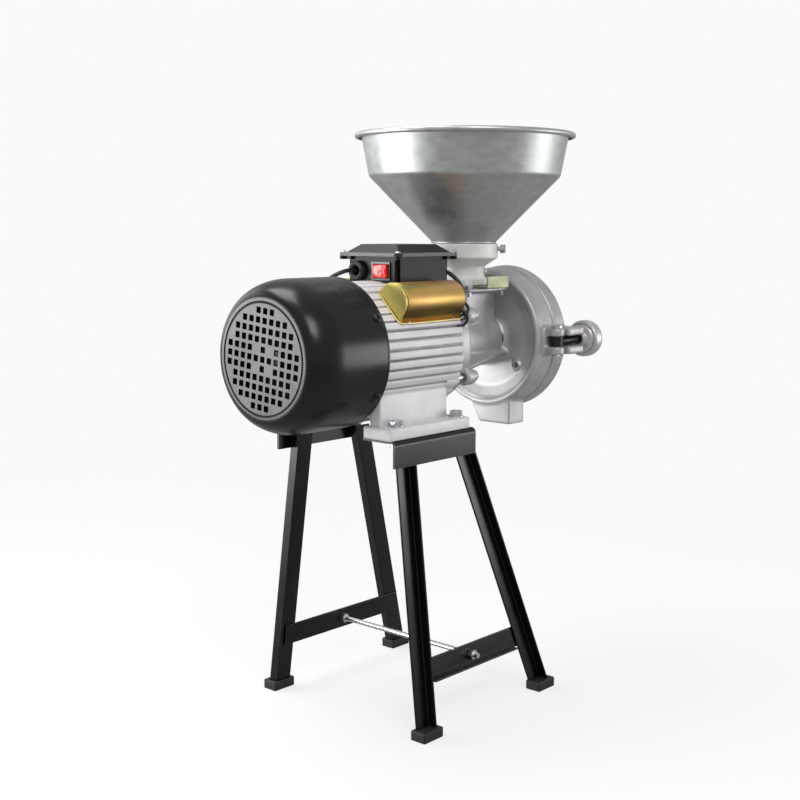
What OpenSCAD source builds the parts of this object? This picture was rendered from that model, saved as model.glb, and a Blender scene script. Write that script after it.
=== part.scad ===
// Electric grain mill on a four-legged stand.
// A capacitor motor on a steel stand drives a feed screw and a pair of
// grinding discs, and a sheet hopper feeds them from above.
//
// Frame: X runs along the motor shaft, from the fan cover towards the
// grinding head. Y runs across the stand, and the near side is -Y.
// Z is up, and the floor is Z = 0. All sizes are millimetres.
// Stations along the shaft are counted from a line just inside the fan cover's rim.

/* [Stand] */
// Height of the stand's top plates above the floor
stand_h = 324; // [300:2:380]
// Length of each top bracket along the shaft
bracket_l = 136; // [130:1:150]
// Station where the brackets start
bracket_x = 5; // [0:1:8]
// Width of each bracket's top plate
bracket_w = 46; // [40:1:52]
// Depth of each bracket's outer apron
apron_h = 29; // [24:1:36]
// Sheet thickness of the brackets
bracket_t = 3; // [2:0.5:4]
// Outer radius of the fold between a bracket's plate and its apron
fold_r = 6; // [5:0.5:8]
// Width of a leg's web, seen from the side
leg_w = 22; // [20:1:26]
// Depth of the lip turned outwards on a leg
leg_lip = 10; // [8:0.5:12]
// Sheet thickness of the legs and the crossbars
leg_t = 2.5; // [2:0.5:3]
// Distance between the two frames' outer webs at the top plates
track_top = 147; // [144:1:152]
// The same distance at the floor
track_floor = 226; // [190:2:250]
// Station of the rear legs at the top plates
rear_leg_top_x = 34; // [26:1:44]
// Station of the rear legs at the floor
rear_leg_floor_x = 29; // [0:1:44]
// Station of the front legs at the top plates
front_leg_top_x = 124; // [112:1:128]
// Station of the front legs at the floor
front_leg_floor_x = 238; // [180:2:250]
// Height of the crossbars' middle above the floor
crossbar_z = 68; // [55:1:110]
// Height of a crossbar's web
crossbar_w = 25; // [22:1:30]
// Station of the tie rod
tie_rod_x = 121; // [100:1:150]
// Radius of the tie rod
tie_rod_r = 3; // [2.5:0.25:4]
// Height of the rubber foot caps
cap_h = 11; // [9:0.5:14]
// Wall of the foot caps around a leg
cap_wall = 5; // [3.5:0.5:6]
// Rubber under a leg's end
cap_floor = 4; // [3:0.5:5]

/* [Motor] */
// Height of the shaft above the motor's feet
motor_axis_h = 88; // [86:1:100]
// Radius over the cooling fins
fin_r = 76; // [74:0.5:79]
// Number of cooling fins around the housing
fin_n = 44; // [32:2:52]
// Width of the groove between two fins
fin_gap = 3.6; // [2.5:0.1:4.5]
// Depth of the grooves
fin_depth = 8; // [5:0.5:9]
// Bore of the housing, which holds the stator
housing_bore_r = 60; // [58:0.5:62]
// Station where the finned housing starts, under the fan cover
housing_start = -18; // [-24:1:-14]
// Station where the finned housing ends
housing_end = 138; // [134:1:142]
// Length of the motor's foot plates
foot_l = 132; // [124:1:136]
// Thickness of the foot plates
foot_t = 13; // [9:1:15]
// Half width over the foot plates
foot_half_w = 88; // [84:1:90]
// Distance between foot bolts along the shaft
foot_bolt_l = 100; // [90:1:110]
// Distance between foot bolts across the shaft
foot_bolt_w = 152; // [148:1:156]
// Radius of the foot bolts
foot_bolt_r = 4; // [3:0.5:4.5]
// Half width of the pedestal between the feet and the housing
pedestal_half_w = 69; // [66:0.5:71]

/* [Fan cover] */
// Outer radius of the fan cover
cover_r = 82; // [80:0.5:85]
// Length of the fan cover, from its rim to its flat face
cover_l = 105; // [98:1:112]
// Station of the fan cover's open rim
cover_rim_x = 7; // [4:0.5:9]
// Radius of the flat perforated face
cover_face_r = 62; // [60:0.5:66]
// Length of the rounded corner, along the shaft
cover_crown_l = 40; // [32:1:46]
// Sheet thickness of the fan cover
cover_t = 1.6; // [1.2:0.2:2.4]
// Distance between the square air holes
grille_pitch = 10; // [9.4:0.1:10.4]
// Side of a square air hole
grille_hole = 6.6; // [5:0.1:7.2]
// How far the pattern of holes is turned, in degrees
grille_turn = 6; // [0:1:12]

/* [Switch box] */
// Length of the box along the shaft
box_l = 87; // [80:1:92]
// Width of the box across the shaft
box_w = 75; // [70:1:80]
// Station of the box's middle
box_x = 111; // [106:1:113]
// Height of the box's rim above the shaft
box_rim_h = 103; // [100:1:110]
// Wall of the box
box_wall = 2.5; // [2:0.25:3]
// How far the lid's flange stands out past the box
lid_over = 8.5; // [7.5:0.5:9]
// Thickness of the lid's flange
lid_t = 4; // [3:0.5:5]
// Rise of the lid's raised middle
lid_rise = 9; // [6:0.5:12]
// Width of the rocker switch's opening, across the shaft
rocker_w = 25; // [22:0.5:27]
// Height of the rocker switch's opening
rocker_h = 17.5; // [14:0.5:18]
// Place of the rocker across the shaft
rocker_y = -13; // [-14:0.5:-9]
// Swing of the rocker between its two positions, in degrees
rocker_swing = 14; // [8:1:16]
// Bore of the mains cable gland
gland_bore_r = 4.2; // [3.5:0.1:5]

/* [Capacitors] */
// Length of a capacitor's cover
cap_cover_l = 101; // [92:1:103]
// Radius of the cover's round back
cap_cover_r = 20.5; // [18:0.5:21]
// Station where the covers start
cap_cover_x = 37; // [30:1:39]
// Angle of the capacitors above the horizontal, in degrees
cap_angle = 45; // [42:1:47]
// Rise of a cover's straight sides below its round back
cap_cover_rise = 7.5; // [6:0.5:9]
// Radius of the capacitor inside
can_r = 13; // [10:0.5:13]

/* [Grinding head] */
// Radius of the bolting flange on the motor
flange_r = 68; // [64:0.5:70]
// Outer radius of the feed barrel
barrel_r = 27; // [26:0.5:29]
// Bore of the feed barrel
barrel_bore_r = 20.5; // [18:0.5:21]
// Station of the casing's rear rim
casing_x = 268; // [266:1:272]
// Depth of the casing, from its rear rim to the cover
casing_l = 31; // [30:1:34]
// Radius of the casing at its rear rim
casing_rear_r = 83.5; // [81:0.5:85]
// Radius of the casing and the cover at their joint
casing_r = 88.5; // [87.5:0.5:90]
// Depth of the front cover, without its boss
front_cover_l = 28; // [25:0.5:30]
// Radius of the grinding discs
disc_r = 70; // [60:0.5:72]
// Gap between the grinding discs
disc_gap = 0.8; // [0.6:0.1:1.2]
// Number of furrows dressed in each disc
furrow_n = 18; // [12:1:24]
// Width of the discharge spout's mouth, across the shaft
spout_w = 47; // [40:1:52]
// Drop of the spout's mouth below the shaft
spout_drop = 105; // [98:1:113]
// Distance of the swing bolts' pins from the shaft's axis
swing_y = 95; // [95:0.5:97]
// Radius of a swing bolt's shank
swing_r = 4.5; // [4:0.25:5]
// Radius of a closing knob
knob_r = 22.5; // [18:0.5:24]
// Radius of the handwheel that sets the fineness
handwheel_r = 29; // [24:1:34]

/* [Feed and hopper] */
// Station of the hopper's axis
hopper_x = 228; // [226:0.5:229]
// Height of the throat's ledge above the shaft
ledge_h = 64; // [62:0.5:68]
// Half width of the throat's square ledge
ledge_half_w = 40; // [38:0.5:41]
// Bore of the throat above the feed barrel
throat_r = 18; // [15:0.5:18.5]
// Outer radius of the feed neck
neck_r = 25.5; // [24:0.5:27]
// Outer radius of the collar that holds the hopper
collar_r = 41; // [40.5:0.5:46]
// Height of the collar
collar_h = 14; // [12:0.5:20]
// Height of the neck, from the ledge to the collar
neck_h = 38; // [34:0.5:44]
// Width of the feed gate
gate_w = 41; // [39:0.5:42]
// Travel of the feed gate
gate_travel = 45; // [43:1:48]
// Outer radius of the hopper's rolled rim
hopper_rim_r = 131; // [122:1:150]
// Radius of the hopper's wall just under the rim
hopper_top_r = 123; // [112:1:140]
// Radius of the hopper's wall at the fold
hopper_fold_r = 114; // [100:1:130]
// Radius of the hopper's spout
hopper_spout_r = 38; // [34:0.5:38]
// Height of the hopper's upper wall
hopper_wall_h = 49; // [36:1:80]
// Height of the hopper's cone
hopper_cone_h = 77; // [64:1:110]
// Sheet thickness of the hopper
hopper_t = 1.2; // [0.8:0.1:2]

/* [Hidden] */

$fn = 64;
// Length by which a cut runs past the face that it opens
cut = 1;
// Gap of a running fit, on the radius
run_gap = 0.06;
// Gap of pieces pressed or seated together, on the radius
seat_gap = 0.03;
// Gap between moving pieces that don't guide each other
free_gap = 0.4;
// Rounding of small turned edges
edge_r = 1.5;

// Overall stations and heights
handwheel_gap = 6;
handwheel_t = 11;
cover_boss_l = 10;
lock_nut_l = 8;
joint_x = casing_x + casing_l;
front_reach = joint_x + front_cover_l + cover_boss_l + lock_nut_l + handwheel_gap + handwheel_t;
x0 = (cover_l - cover_rim_x - front_reach) / 2;
axis_z = stand_h + motor_axis_h;

// Moves its children to a station along the shaft, on the shaft's axis
module at_station(x) {
  translate([x0 + x, 0, axis_z]) children();
}

// Turns something drawn along Z to lie along the shaft, pointing forwards
module along_shaft(x) {
  at_station(x) rotate([0, 90, 0]) children();
}

// A solid turned around the shaft, from points of [station, radius]
module turned(points) {
  translate([x0, 0, axis_z])
    rotate([0, 90, 0])
      rotate_extrude($fn = 96)
        polygon([for (p = points) [p[1], p[0]]]);
}

// A plain ring around the shaft
module ring(x, l, r_out, r_in) {
  along_shaft(x)
    difference() {
      cylinder(h = l, r = r_out);
      translate([0, 0, -cut]) cylinder(h = l + 2 * cut, r = r_in);
    }
}

// Points of a quarter of an ellipse, from angle a0 to a1 around [x, r]
function arc(x, r, rx, rr, a0, a1, n) =
  [for (i = [0:n]) let (a = a0 + (a1 - a0) * i / n) [x + rx * cos(a), r + rr * sin(a)]];

// A square with rounded corners, centred
module rounded_square(size, r) {
  for (s = [-1, 1]) {
    square([size[0] - 2 * r, size[1]], center = true);
    square([size[0], size[1] - 2 * r], center = true);
    for (t = [-1, 1])
      translate([s * (size[0] / 2 - r), t * (size[1] / 2 - r)]) circle(r = r, $fn = 32);
  }
}

// Hexagon nut or bolt head along Z, with its flats facing Y
module hexagon(across_flats, h) {
  cylinder(h = h, r = across_flats / sqrt(3), $fn = 6);
}

// Hexagon bolt along Z: its head stands up from z = 0 and its shank goes down
module hex_bolt(r, shank_l) {
  hexagon(3.25 * r, 1.3 * r);
  translate([0, 0, -shank_l]) cylinder(h = shank_l, r = r);
}

// Round-headed screw along Z, with a cross slot
module cross_screw(r, head_r, shank_l) {
  head_h = 0.6 * head_r;
  slot_w = 0.35 * r;
  difference() {
    rotate_extrude()
      polygon(concat([[0, 0]], arc(0, 0, head_r, head_h, 0, 90, 5)));
    for (a = [0, 90])
      rotate([0, 0, a])
        translate([-head_r / 2, -slot_w / 2, head_h / 2])
          cube([head_r, slot_w, head_h]);
  }
  translate([0, 0, -shank_l]) cylinder(h = shank_l, r = r);
}

// Stand: half widths of the frames, and the lean that follows from them
web_top_y = track_top / 2;
web_floor_y = track_floor / 2;
lean = atan((web_floor_y - web_top_y) / stand_h);
frame_l = stand_h / cos(lean);
apron_y = web_top_y + apron_h * tan(lean) + leg_lip + free_gap + bracket_t;
foot_bolt_x = bracket_x + bracket_l / 2;
nut_af = 3.25 * foot_bolt_r;
washer_t = 1.6;
nut_h = 1.6 * foot_bolt_r;
leg_top_z = stand_h - bracket_t - washer_t - nut_h - washer_t;
bolt_hole_gap = 0.4;

// Puts its children in the plane of one frame: X along the shaft, Z up the
// frame with 0 at the top, and outwards is -Y. side is -1 near and 1 far.
module frame_plane(side) {
  mirror([0, side > 0 ? 1 : 0, 0])
    translate([x0, -web_top_y, stand_h])
      rotate([-lean, 0, 0])
        children();
}

// Pressed angle: a web across X and a lip turned outwards on one edge
module angle_section(w, lip, t, lip_end, ease) {
  translate([-w / 2 - ease, -ease]) square([w + 2 * ease, t + 2 * ease]);
  translate([lip_end * (w - t) / 2 - t / 2 - ease, -lip - ease])
    square([t + 2 * ease, lip + t + 2 * ease]);
}

// A leg's slanting bar, longer than the leg at both ends
module leg_bar(side, top_x, floor_x, ease) {
  slant = atan((floor_x - top_x) / frame_l);
  over = leg_w;
  frame_plane(side)
    translate([top_x, 0, 0])
      rotate([0, -slant, 0])
        translate([0, 0, -frame_l / cos(slant) - over])
          linear_extrude(height = frame_l / cos(slant) + 2 * over)
            angle_section(leg_w, leg_lip, leg_t, -side, ease);
}

module leg(side, top_x, floor_x) {
  slab_w = 2 * front_reach;
  intersection() {
    leg_bar(side, top_x, floor_x, 0);
    translate([-slab_w / 2, -slab_w / 2, cap_floor])
      cube([slab_w, slab_w, leg_top_z - cap_floor]);
  }
}

module foot_cap(side, top_x, floor_x) {
  cap_w = leg_w + 2 * cap_wall;
  cap_d = leg_lip + 2 * cap_wall;
  mid_y = side * (web_floor_y + leg_lip / 2 - leg_t / 2);
  slab_w = 2 * front_reach;
  color("#1b1b1b")
    difference() {
      translate([x0 + floor_x, mid_y, 0])
        linear_extrude(height = cap_h) rounded_square([cap_w, cap_d], edge_r);
      intersection() {
        leg_bar(side, top_x, floor_x, seat_gap);
        translate([-slab_w / 2, -slab_w / 2, cap_floor])
          cube([slab_w, slab_w, cap_h]);
      }
    }
}

module bracket(side) {
  color("#232323")
    mirror([0, side > 0 ? 1 : 0, 0])
      translate([x0 + bracket_x, -apron_y, stand_h])
        difference() {
          rotate([90, 0, 90])
            linear_extrude(height = bracket_l)
              difference() {
                union() {
                  translate([fold_r, -bracket_t]) square([bracket_w - fold_r, bracket_t]);
                  translate([0, -apron_h]) square([bracket_t, apron_h - fold_r]);
                  intersection() {
                    translate([fold_r, -fold_r]) circle(r = fold_r);
                    translate([0, -fold_r]) square([fold_r, fold_r]);
                  }
                }
                translate([fold_r, -fold_r]) circle(r = fold_r - bracket_t);
              }
          for (s = [-1, 1])
            translate([bracket_l / 2 + s * foot_bolt_l / 2,
                  apron_y - foot_bolt_w / 2, -bracket_t - cut])
              cylinder(h = bracket_t + 2 * cut, r = foot_bolt_r + bolt_hole_gap);
        }
}

module stand_bracket_near() { bracket(-1); }
module stand_bracket_far() { bracket(1); }
module leg_near_rear() { color("#232323") leg(-1, rear_leg_top_x, rear_leg_floor_x); }
module leg_near_front() { color("#232323") leg(-1, front_leg_top_x, front_leg_floor_x); }
module leg_far_rear() { color("#232323") leg(1, rear_leg_top_x, rear_leg_floor_x); }
module leg_far_front() { color("#232323") leg(1, front_leg_top_x, front_leg_floor_x); }
module foot_near_rear() { foot_cap(-1, rear_leg_top_x, rear_leg_floor_x); }
module foot_near_front() { foot_cap(-1, front_leg_top_x, front_leg_floor_x); }
module foot_far_rear() { foot_cap(1, rear_leg_top_x, rear_leg_floor_x); }
module foot_far_front() { foot_cap(1, front_leg_top_x, front_leg_floor_x); }

// Height of the crossbars along the frame's slope, and the leg stations there
crossbar_down = (stand_h - crossbar_z) / cos(lean);
function leg_x(top_x, floor_x, down) = top_x + (floor_x - top_x) * down / frame_l;
rod_y = web_floor_y - crossbar_z * tan(lean);

// A crossbar lies behind the legs' webs, and its lip fills the space between them
module crossbar(side) {
  rear_x = leg_x(rear_leg_top_x, rear_leg_floor_x, crossbar_down);
  front_x = leg_x(front_leg_top_x, front_leg_floor_x, crossbar_down);
  slope = (front_leg_floor_x - front_leg_top_x) / frame_l;
  lip_gap = leg_w / 2 + slope * crossbar_w / 2 + leg_t;
  color("#232323")
    difference() {
      frame_plane(side)
        translate([0, leg_t, -crossbar_down]) {
          translate([rear_x - leg_w / 4, 0, -crossbar_w / 2])
            cube([front_x - rear_x + leg_w / 2, leg_t, crossbar_w]);
          translate([rear_x + lip_gap, -leg_lip, -crossbar_w / 2])
            cube([front_x - rear_x - 2 * lip_gap, leg_lip + leg_t, leg_t]);
        }
      translate([x0 + tie_rod_x, 0, crossbar_z])
        rotate([90, 0, 0])
          cylinder(h = track_floor + 2 * cut, r = tie_rod_r + bolt_hole_gap, center = true);
    }
}

module crossbar_near() { crossbar(-1); }
module crossbar_far() { crossbar(1); }

// The rod runs through both crossbars, between nuts that clear their lean
rod_nut_af = 3.4 * tie_rod_r;
rod_nut_h = 1.7 * tie_rod_r;
rod_nut_seat = rod_nut_af / 2 * tan(lean) + seat_gap;
rod_half_l = rod_y + rod_nut_h + rod_nut_seat + 2 * edge_r;

module tie_rod() {
  color("#c9cbcc")
    translate([x0 + tie_rod_x, 0, crossbar_z])
      rotate([90, 0, 0])
        cylinder(h = 2 * rod_half_l, r = tie_rod_r, center = true);
}

module tie_rod_nuts() {
  outer = rod_y - leg_t + rod_nut_seat;
  inner = rod_y - 2 * leg_t - rod_nut_seat - rod_nut_h;
  color("#d5d7d8")
    translate([x0 + tie_rod_x, 0, crossbar_z])
      for (s = [-1, 1])
        for (y = [outer, inner])
          mirror([0, s < 0 ? 1 : 0, 0])
            translate([0, y, 0])
              rotate([-90, 0, 0])
                difference() {
                  hexagon(rod_nut_af, rod_nut_h);
                  translate([0, 0, -cut])
                    cylinder(h = rod_nut_h + 2 * cut, r = tie_rod_r + seat_gap);
                }
}

// Motor
shaft_r = 12;
bearing_bore_r = 10;
front_bearing_bore_r = 12.5;
bearing_r = 23.5;
front_bearing_r = 26;
bearing_l = 14;
shield_t = 3;
spigot_l = 8;
seat_wall = 5;
through_bolt_y = 58;
through_bolt_z = 35;
through_bolt_r = 4;
lug_r = 9;
lug_l = 20;
flange_t = 20;
shield_front_x = housing_end;
flange_x = shield_front_x + shield_t;
pedestal_h = 26;
pedestal_x = cover_rim_x + edge_r;
pedestal_l = 110;
pedestal_wall = 16;
foot_w = 40;
foot_set = 6;
washer_share = 2.1;
core_start = 20;
core_l = 80;
stator_in_r = 39;
rotor_r = 38.5;
core_bore_r = shaft_r + seat_gap;
winding_l = 15;
winding_share = 0.85;
winding_n = 24;

module fin_profile() {
  difference() {
    circle(r = fin_r, $fn = 96);
    circle(r = housing_bore_r, $fn = 96);
    for (i = [0:fin_n - 1])
      rotate([0, 0, (i + 0.5) * 360 / fin_n])
        translate([fin_r - fin_depth, -fin_gap / 2])
          square([fin_depth + cut, fin_gap]);
  }
}

module motor_housing() {
  base_z = stand_h - axis_z;
  color("#b9bbbd")
    difference() {
      union() {
        along_shaft(housing_start)
          linear_extrude(height = housing_end - housing_start) fin_profile();
        // Pedestal walls under the housing, and the foot plates
        for (s = [0, 1])
          mirror([0, s, 0])
            at_station(0) {
              difference() {
                translate([pedestal_x, -pedestal_half_w, base_z])
                  cube([pedestal_l, pedestal_wall, foot_t + pedestal_h]);
                rotate([0, 90, 0]) cylinder(h = foot_l + foot_t, r = fin_r - fin_depth);
              }
              translate([foot_bolt_x - foot_l / 2 - foot_set, -foot_half_w, base_z])
                cube([foot_l, foot_w, foot_t]);
            }
        // Lugs that the through bolts screw into
        difference() {
          at_through_bolts(housing_end - lug_l) cylinder(h = lug_l, r = lug_r);
          along_shaft(0) cylinder(h = foot_l + foot_t, r = fin_r - fin_depth);
        }
      }
      at_through_bolts(housing_end - lug_l + washer_t)
        cylinder(h = lug_l, r = through_bolt_r + seat_gap);
      capacitor_pads();
      for (s = [-1, 1])
        for (t = [-1, 1])
          translate([x0 + foot_bolt_x + s * foot_bolt_l / 2, t * foot_bolt_w / 2, stand_h - cut])
            cylinder(h = foot_t + 2 * cut, r = foot_bolt_r + bolt_hole_gap);
      // Spot faces beside the pedestal, for the foot bolts' washers
      for (s = [-1, 1])
        for (t = [-1, 1])
          translate([x0 + foot_bolt_x + s * foot_bolt_l / 2, t * foot_bolt_w / 2, stand_h + foot_t])
            cylinder(h = pedestal_h, r = washer_share * foot_bolt_r + free_gap);
    }
}

module foot_bolts() {
  washer_r = washer_share * foot_bolt_r;
  grip = foot_t + bracket_t;
  color("#c4c6c8")
    for (s = [-1, 1])
      for (t = [-1, 1])
        translate([x0 + foot_bolt_x + s * foot_bolt_l / 2, t * foot_bolt_w / 2, stand_h + foot_t]) {
          translate([0, 0, washer_t]) hex_bolt(foot_bolt_r, grip + 2 * washer_t + nut_h);
          cylinder(h = washer_t, r = washer_r);
          translate([0, 0, -grip - washer_t]) cylinder(h = washer_t, r = washer_r - edge_r);
          translate([0, 0, -grip - washer_t - nut_h]) hexagon(nut_af, nut_h);
        }
}

module stator_core() {
  color("#6a6c6e")
    ring(core_start, core_l, housing_bore_r - seat_gap, stator_in_r);
}

// End turns: one rounded ring at each end of the core
module stator_windings() {
  mid_r = (housing_bore_r + stator_in_r) / 2;
  half_w = (housing_bore_r - stator_in_r) / 2 * winding_share;
  color("#a8562c")
    for (x = [core_start - winding_l, core_start + core_l])
      turned(arc(x + winding_l / 2, mid_r, winding_l / 2, half_w,
        0, 360 * (winding_n - 1) / winding_n, winding_n - 1));
}

module end_shield_rear() {
  seat_l = bearing_l + edge_r;
  back = housing_start - shield_t;
  color("#a9abad")
    turned([
      [back, bearing_r + seat_gap],
      [back, fin_r - fin_depth],
      [housing_start, fin_r - fin_depth],
      [housing_start, housing_bore_r - seat_gap],
      [housing_start + spigot_l, housing_bore_r - seat_gap],
      [housing_start + spigot_l, bearing_r + seat_wall],
      [back + seat_l, bearing_r + seat_wall],
      [back + seat_l, bearing_r + seat_gap]
    ]);
}

module end_shield_front() {
  seat_l = bearing_l + edge_r;
  front = shield_front_x + shield_t;
  color("#55585b")
    difference() {
      union() {
        turned([
          [shield_front_x - spigot_l, housing_bore_r - seat_gap],
          [shield_front_x, housing_bore_r - seat_gap],
          [shield_front_x, fin_r - fin_depth],
          [front, fin_r - fin_depth],
          [front, front_bearing_r + seat_gap],
          [front - seat_l, front_bearing_r + seat_gap],
          [front - seat_l, front_bearing_r + seat_wall],
          [shield_front_x - spigot_l, front_bearing_r + seat_wall]
        ]);
        at_through_bolts(shield_front_x) cylinder(h = shield_t, r = lug_r);
      }
      through_holes(shield_front_x - cut, shield_t + 2 * cut);
      capacitor_pads();
    }
}

// The four places of the bolts that hold the mill body to the motor
module at_through_bolts(x) {
  for (s = [-1, 1])
    for (t = [-1, 1])
      at_station(x)
        translate([0, s * through_bolt_y, t * through_bolt_z])
          rotate([0, 90, 0]) children();
}

module through_holes(x, l) {
  at_through_bolts(x) cylinder(h = l, r = through_bolt_r + bolt_hole_gap);
}

// A ball bearing: outer ring and inner ring with the balls' track between them
module bearing(x, r_out, r_in) {
  wall = (r_out - r_in) * bearing_wall_share;
  ball_r = (r_out - r_in) * ball_share;
  mid_r = (r_out + r_in) / 2;
  ball_n = floor(2 * PI * mid_r / (2.6 * ball_r));
  ring(x, bearing_l, r_out, r_out - wall);
  ring(x, bearing_l, r_in + wall, r_in);
  ring(x + bearing_l * shield_plate_share, bearing_l * (1 - 2 * shield_plate_share),
    r_out - wall, r_in + wall);
}
bearing_wall_share = 0.28;
ball_share = 0.24;
shield_plate_share = 0.1;

module bearing_rear() {
  color("#d0d2d4") bearing(housing_start - shield_t, bearing_r, bearing_bore_r + run_gap);
}

module bearing_front() {
  color("#d0d2d4")
    bearing(shield_front_x + shield_t - bearing_l, front_bearing_r, front_bearing_bore_r + run_gap);
}

// Seats along the shaft, from the fan end to the grinding disc
fan_seat_r = 7.5;
screw_seat_r = 10;
disc_seat_r = 8;
fan_x = -78;
fan_hub_l = 24;
disc_t = 7;
fixed_disc_t = 6;
dish_depth = 9;
back_plate_t = 5;
shaft_tail = 5;
seal_wall = 10;
chamber_x = casing_x + dish_depth + back_plate_t;
running_disc_x = chamber_x + fixed_disc_t + disc_gap;
shaft_end_x = running_disc_x + disc_t + shaft_tail;
screw_start_x = flange_x + flange_t + seal_wall;
screw_end_x = chamber_x - edge_r;

module motor_shaft() {
  rear_face = housing_start - shield_t;
  front_seat_x = shield_front_x + shield_t - bearing_l;
  color("#c3c5c7")
    turned([
      [fan_x - edge_r, 0],
      [fan_x - edge_r, fan_seat_r],
      [rear_face - edge_r, fan_seat_r],
      [rear_face - edge_r, bearing_bore_r],
      [rear_face + bearing_l + edge_r, bearing_bore_r],
      [rear_face + bearing_l + edge_r, shaft_r],
      [core_start + core_l, shaft_r],
      [core_start + core_l, front_bearing_bore_r],
      [screw_start_x - edge_r, front_bearing_bore_r],
      [screw_start_x - edge_r, screw_seat_r],
      [running_disc_x - edge_r, screw_seat_r],
      [running_disc_x - edge_r, disc_seat_r],
      [shaft_end_x - edge_r, disc_seat_r],
      [shaft_end_x, disc_seat_r - edge_r],
      [shaft_end_x, 0]
    ]);
}

module rotor_core() {
  ring_t = 6;

  color("#8a8c8e") {
    ring(core_start, core_l, rotor_r, core_bore_r);
    for (x = [core_start - ring_t, core_start + core_l])
      ring(x, ring_t, rotor_r - ring_t / 2, rotor_r - 2 * ring_t);
  }
}

// Fan with straight blades, which cools the motor turning either way
module cooling_fan() {
  blade_n = 7;
  blade_t = 3;
  blade_l = 20;
  hub_r = 17;
  fan_r = 72;
  plate_r = 62;
  plate_t = 3;
  color("#2a2a2a")
    along_shaft(fan_x)
      difference() {
        union() {
          cylinder(h = fan_hub_l, r = hub_r);
          translate([0, 0, fan_hub_l - blade_l]) cylinder(h = plate_t, r = plate_r);
          for (i = [0:blade_n - 1])
            rotate([0, 0, i * 360 / blade_n])
              translate([hub_r - blade_t, -blade_t / 2, fan_hub_l - blade_l + plate_t / 2])
                cube([fan_r - hub_r, blade_t, blade_l - plate_t]);
        }
        translate([0, 0, -cut]) cylinder(h = fan_hub_l + 2 * cut, r = fan_seat_r + seat_gap);
      }
}

// Fan cover
// How many holes each row of the air grille has on either side of its middle,
// and which of the places next to the middle column stay closed
grille_half_counts = [1, 3, 4, 4, 5, 5, 5, 4, 4, 3, 1];
grille_rows = len(grille_half_counts);
groove_depth = 0.8;
groove_w = 2.4;
groove_in = 3;
groove_r = cover_face_r - groove_in;

function is_open(row, column) =
  abs(column) <= grille_half_counts[row]
    && !(abs(column) == 1 && abs(row - (grille_rows - 1) / 2) == 1);

module grille_holes() {
  for (row = [0:grille_rows - 1])
    for (column = [-grille_half_counts[row]:grille_half_counts[row]])
      if (is_open(row, column))
        translate([(row - (grille_rows - 1) / 2) * grille_pitch, column * grille_pitch])
          square(grille_hole, center = true);
}

module fan_cover() {
  face_end_x = cover_rim_x - cover_l;
  crown_x = face_end_x + cover_crown_l;
  inner_crown = cover_crown_l - cover_t;
  crown_w = cover_r - cover_face_r;
  color("#1c1c1e")
    difference() {
      union() {
        turned(concat(
          [[cover_rim_x, cover_r - cover_t], [cover_rim_x, cover_r]],
          arc(crown_x, cover_face_r, -cover_crown_l, crown_w, 90, 0, 9),
          [[face_end_x + cover_t, cover_face_r - cut]],
          arc(crown_x, cover_face_r - cut, -inner_crown, crown_w + cut - cover_t, 0, 90, 9)
        ));
        along_shaft(face_end_x)
          linear_extrude(height = cover_t)
            difference() {
              circle(r = cover_face_r, $fn = 96);
              rotate([0, 0, grille_turn]) grille_holes();
            }
      }
      // Pressed groove around the grille
      ring(face_end_x - cut, cut + groove_depth, groove_r + groove_w / 2, groove_r - groove_w / 2);
      at_cover_screws() translate([0, 0, -cover_t * 2]) cylinder(h = cover_t * 3, r = cover_screw_r);
    }
}

cover_screw_r = 2.6;
cover_screw_in = 9;
cover_screw_angles = [30, 150, 210, 330];

module at_cover_screws() {
  for (a = cover_screw_angles)
    at_station(cover_rim_x - cover_screw_in)
      rotate([a, 0, 0]) translate([0, cover_r, 0]) rotate([-90, 0, 0]) children();
}

module fan_cover_screws() {
  head_r = 5;
  spacer_r = 5;
  gap = cover_r - cover_t - fin_r;
  set = spacer_r * spacer_r / (2 * fin_r) + seat_gap;
  color("#2a2a2c")
    at_cover_screws() {
      cross_screw(cover_screw_r - seat_gap, head_r, cover_t + gap / 2);
      translate([0, 0, -cover_t - gap]) cylinder(h = gap - set, r = spacer_r);
    }
}

// Switch box
box_floor_z = fin_r + free_gap;
rim_z = box_rim_h;
box_skirt_drop = 10;
box_skirt_z = fin_r - box_skirt_drop;
lid_corner_r = 7;
lid_screw_r = 1.8;
lid_screw_in = 4.5;
hip_in = 6;
hip_slope_in = 13;
bezel = 1.2;
rocker_z = fin_r + 2 * free_gap + bezel + rocker_h / 2;
pivot_r = 1.4;
face_x = box_x - box_l / 2;
bezel_t = 1.6;
grommet_y = 21;
grommet_r = 11;
grommet_bore_r = 7;
grommet_l = 7;
gland_set_x = 12;
gland_set_z = 14;
gland_x = box_x + gland_set_x;
gland_z = rim_z - gland_set_z;
gland_r = 9;
gland_l = 20;
thread_r = 7;

module at_lid_screws() {
  in = lid_over - lid_screw_in;
  for (s = [-1, 1])
    for (t = [-1, 1])
      at_station(box_x)
        translate([s * (box_l / 2 + in), t * (box_w / 2 + in), rim_z + lid_t]) children();
}

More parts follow.
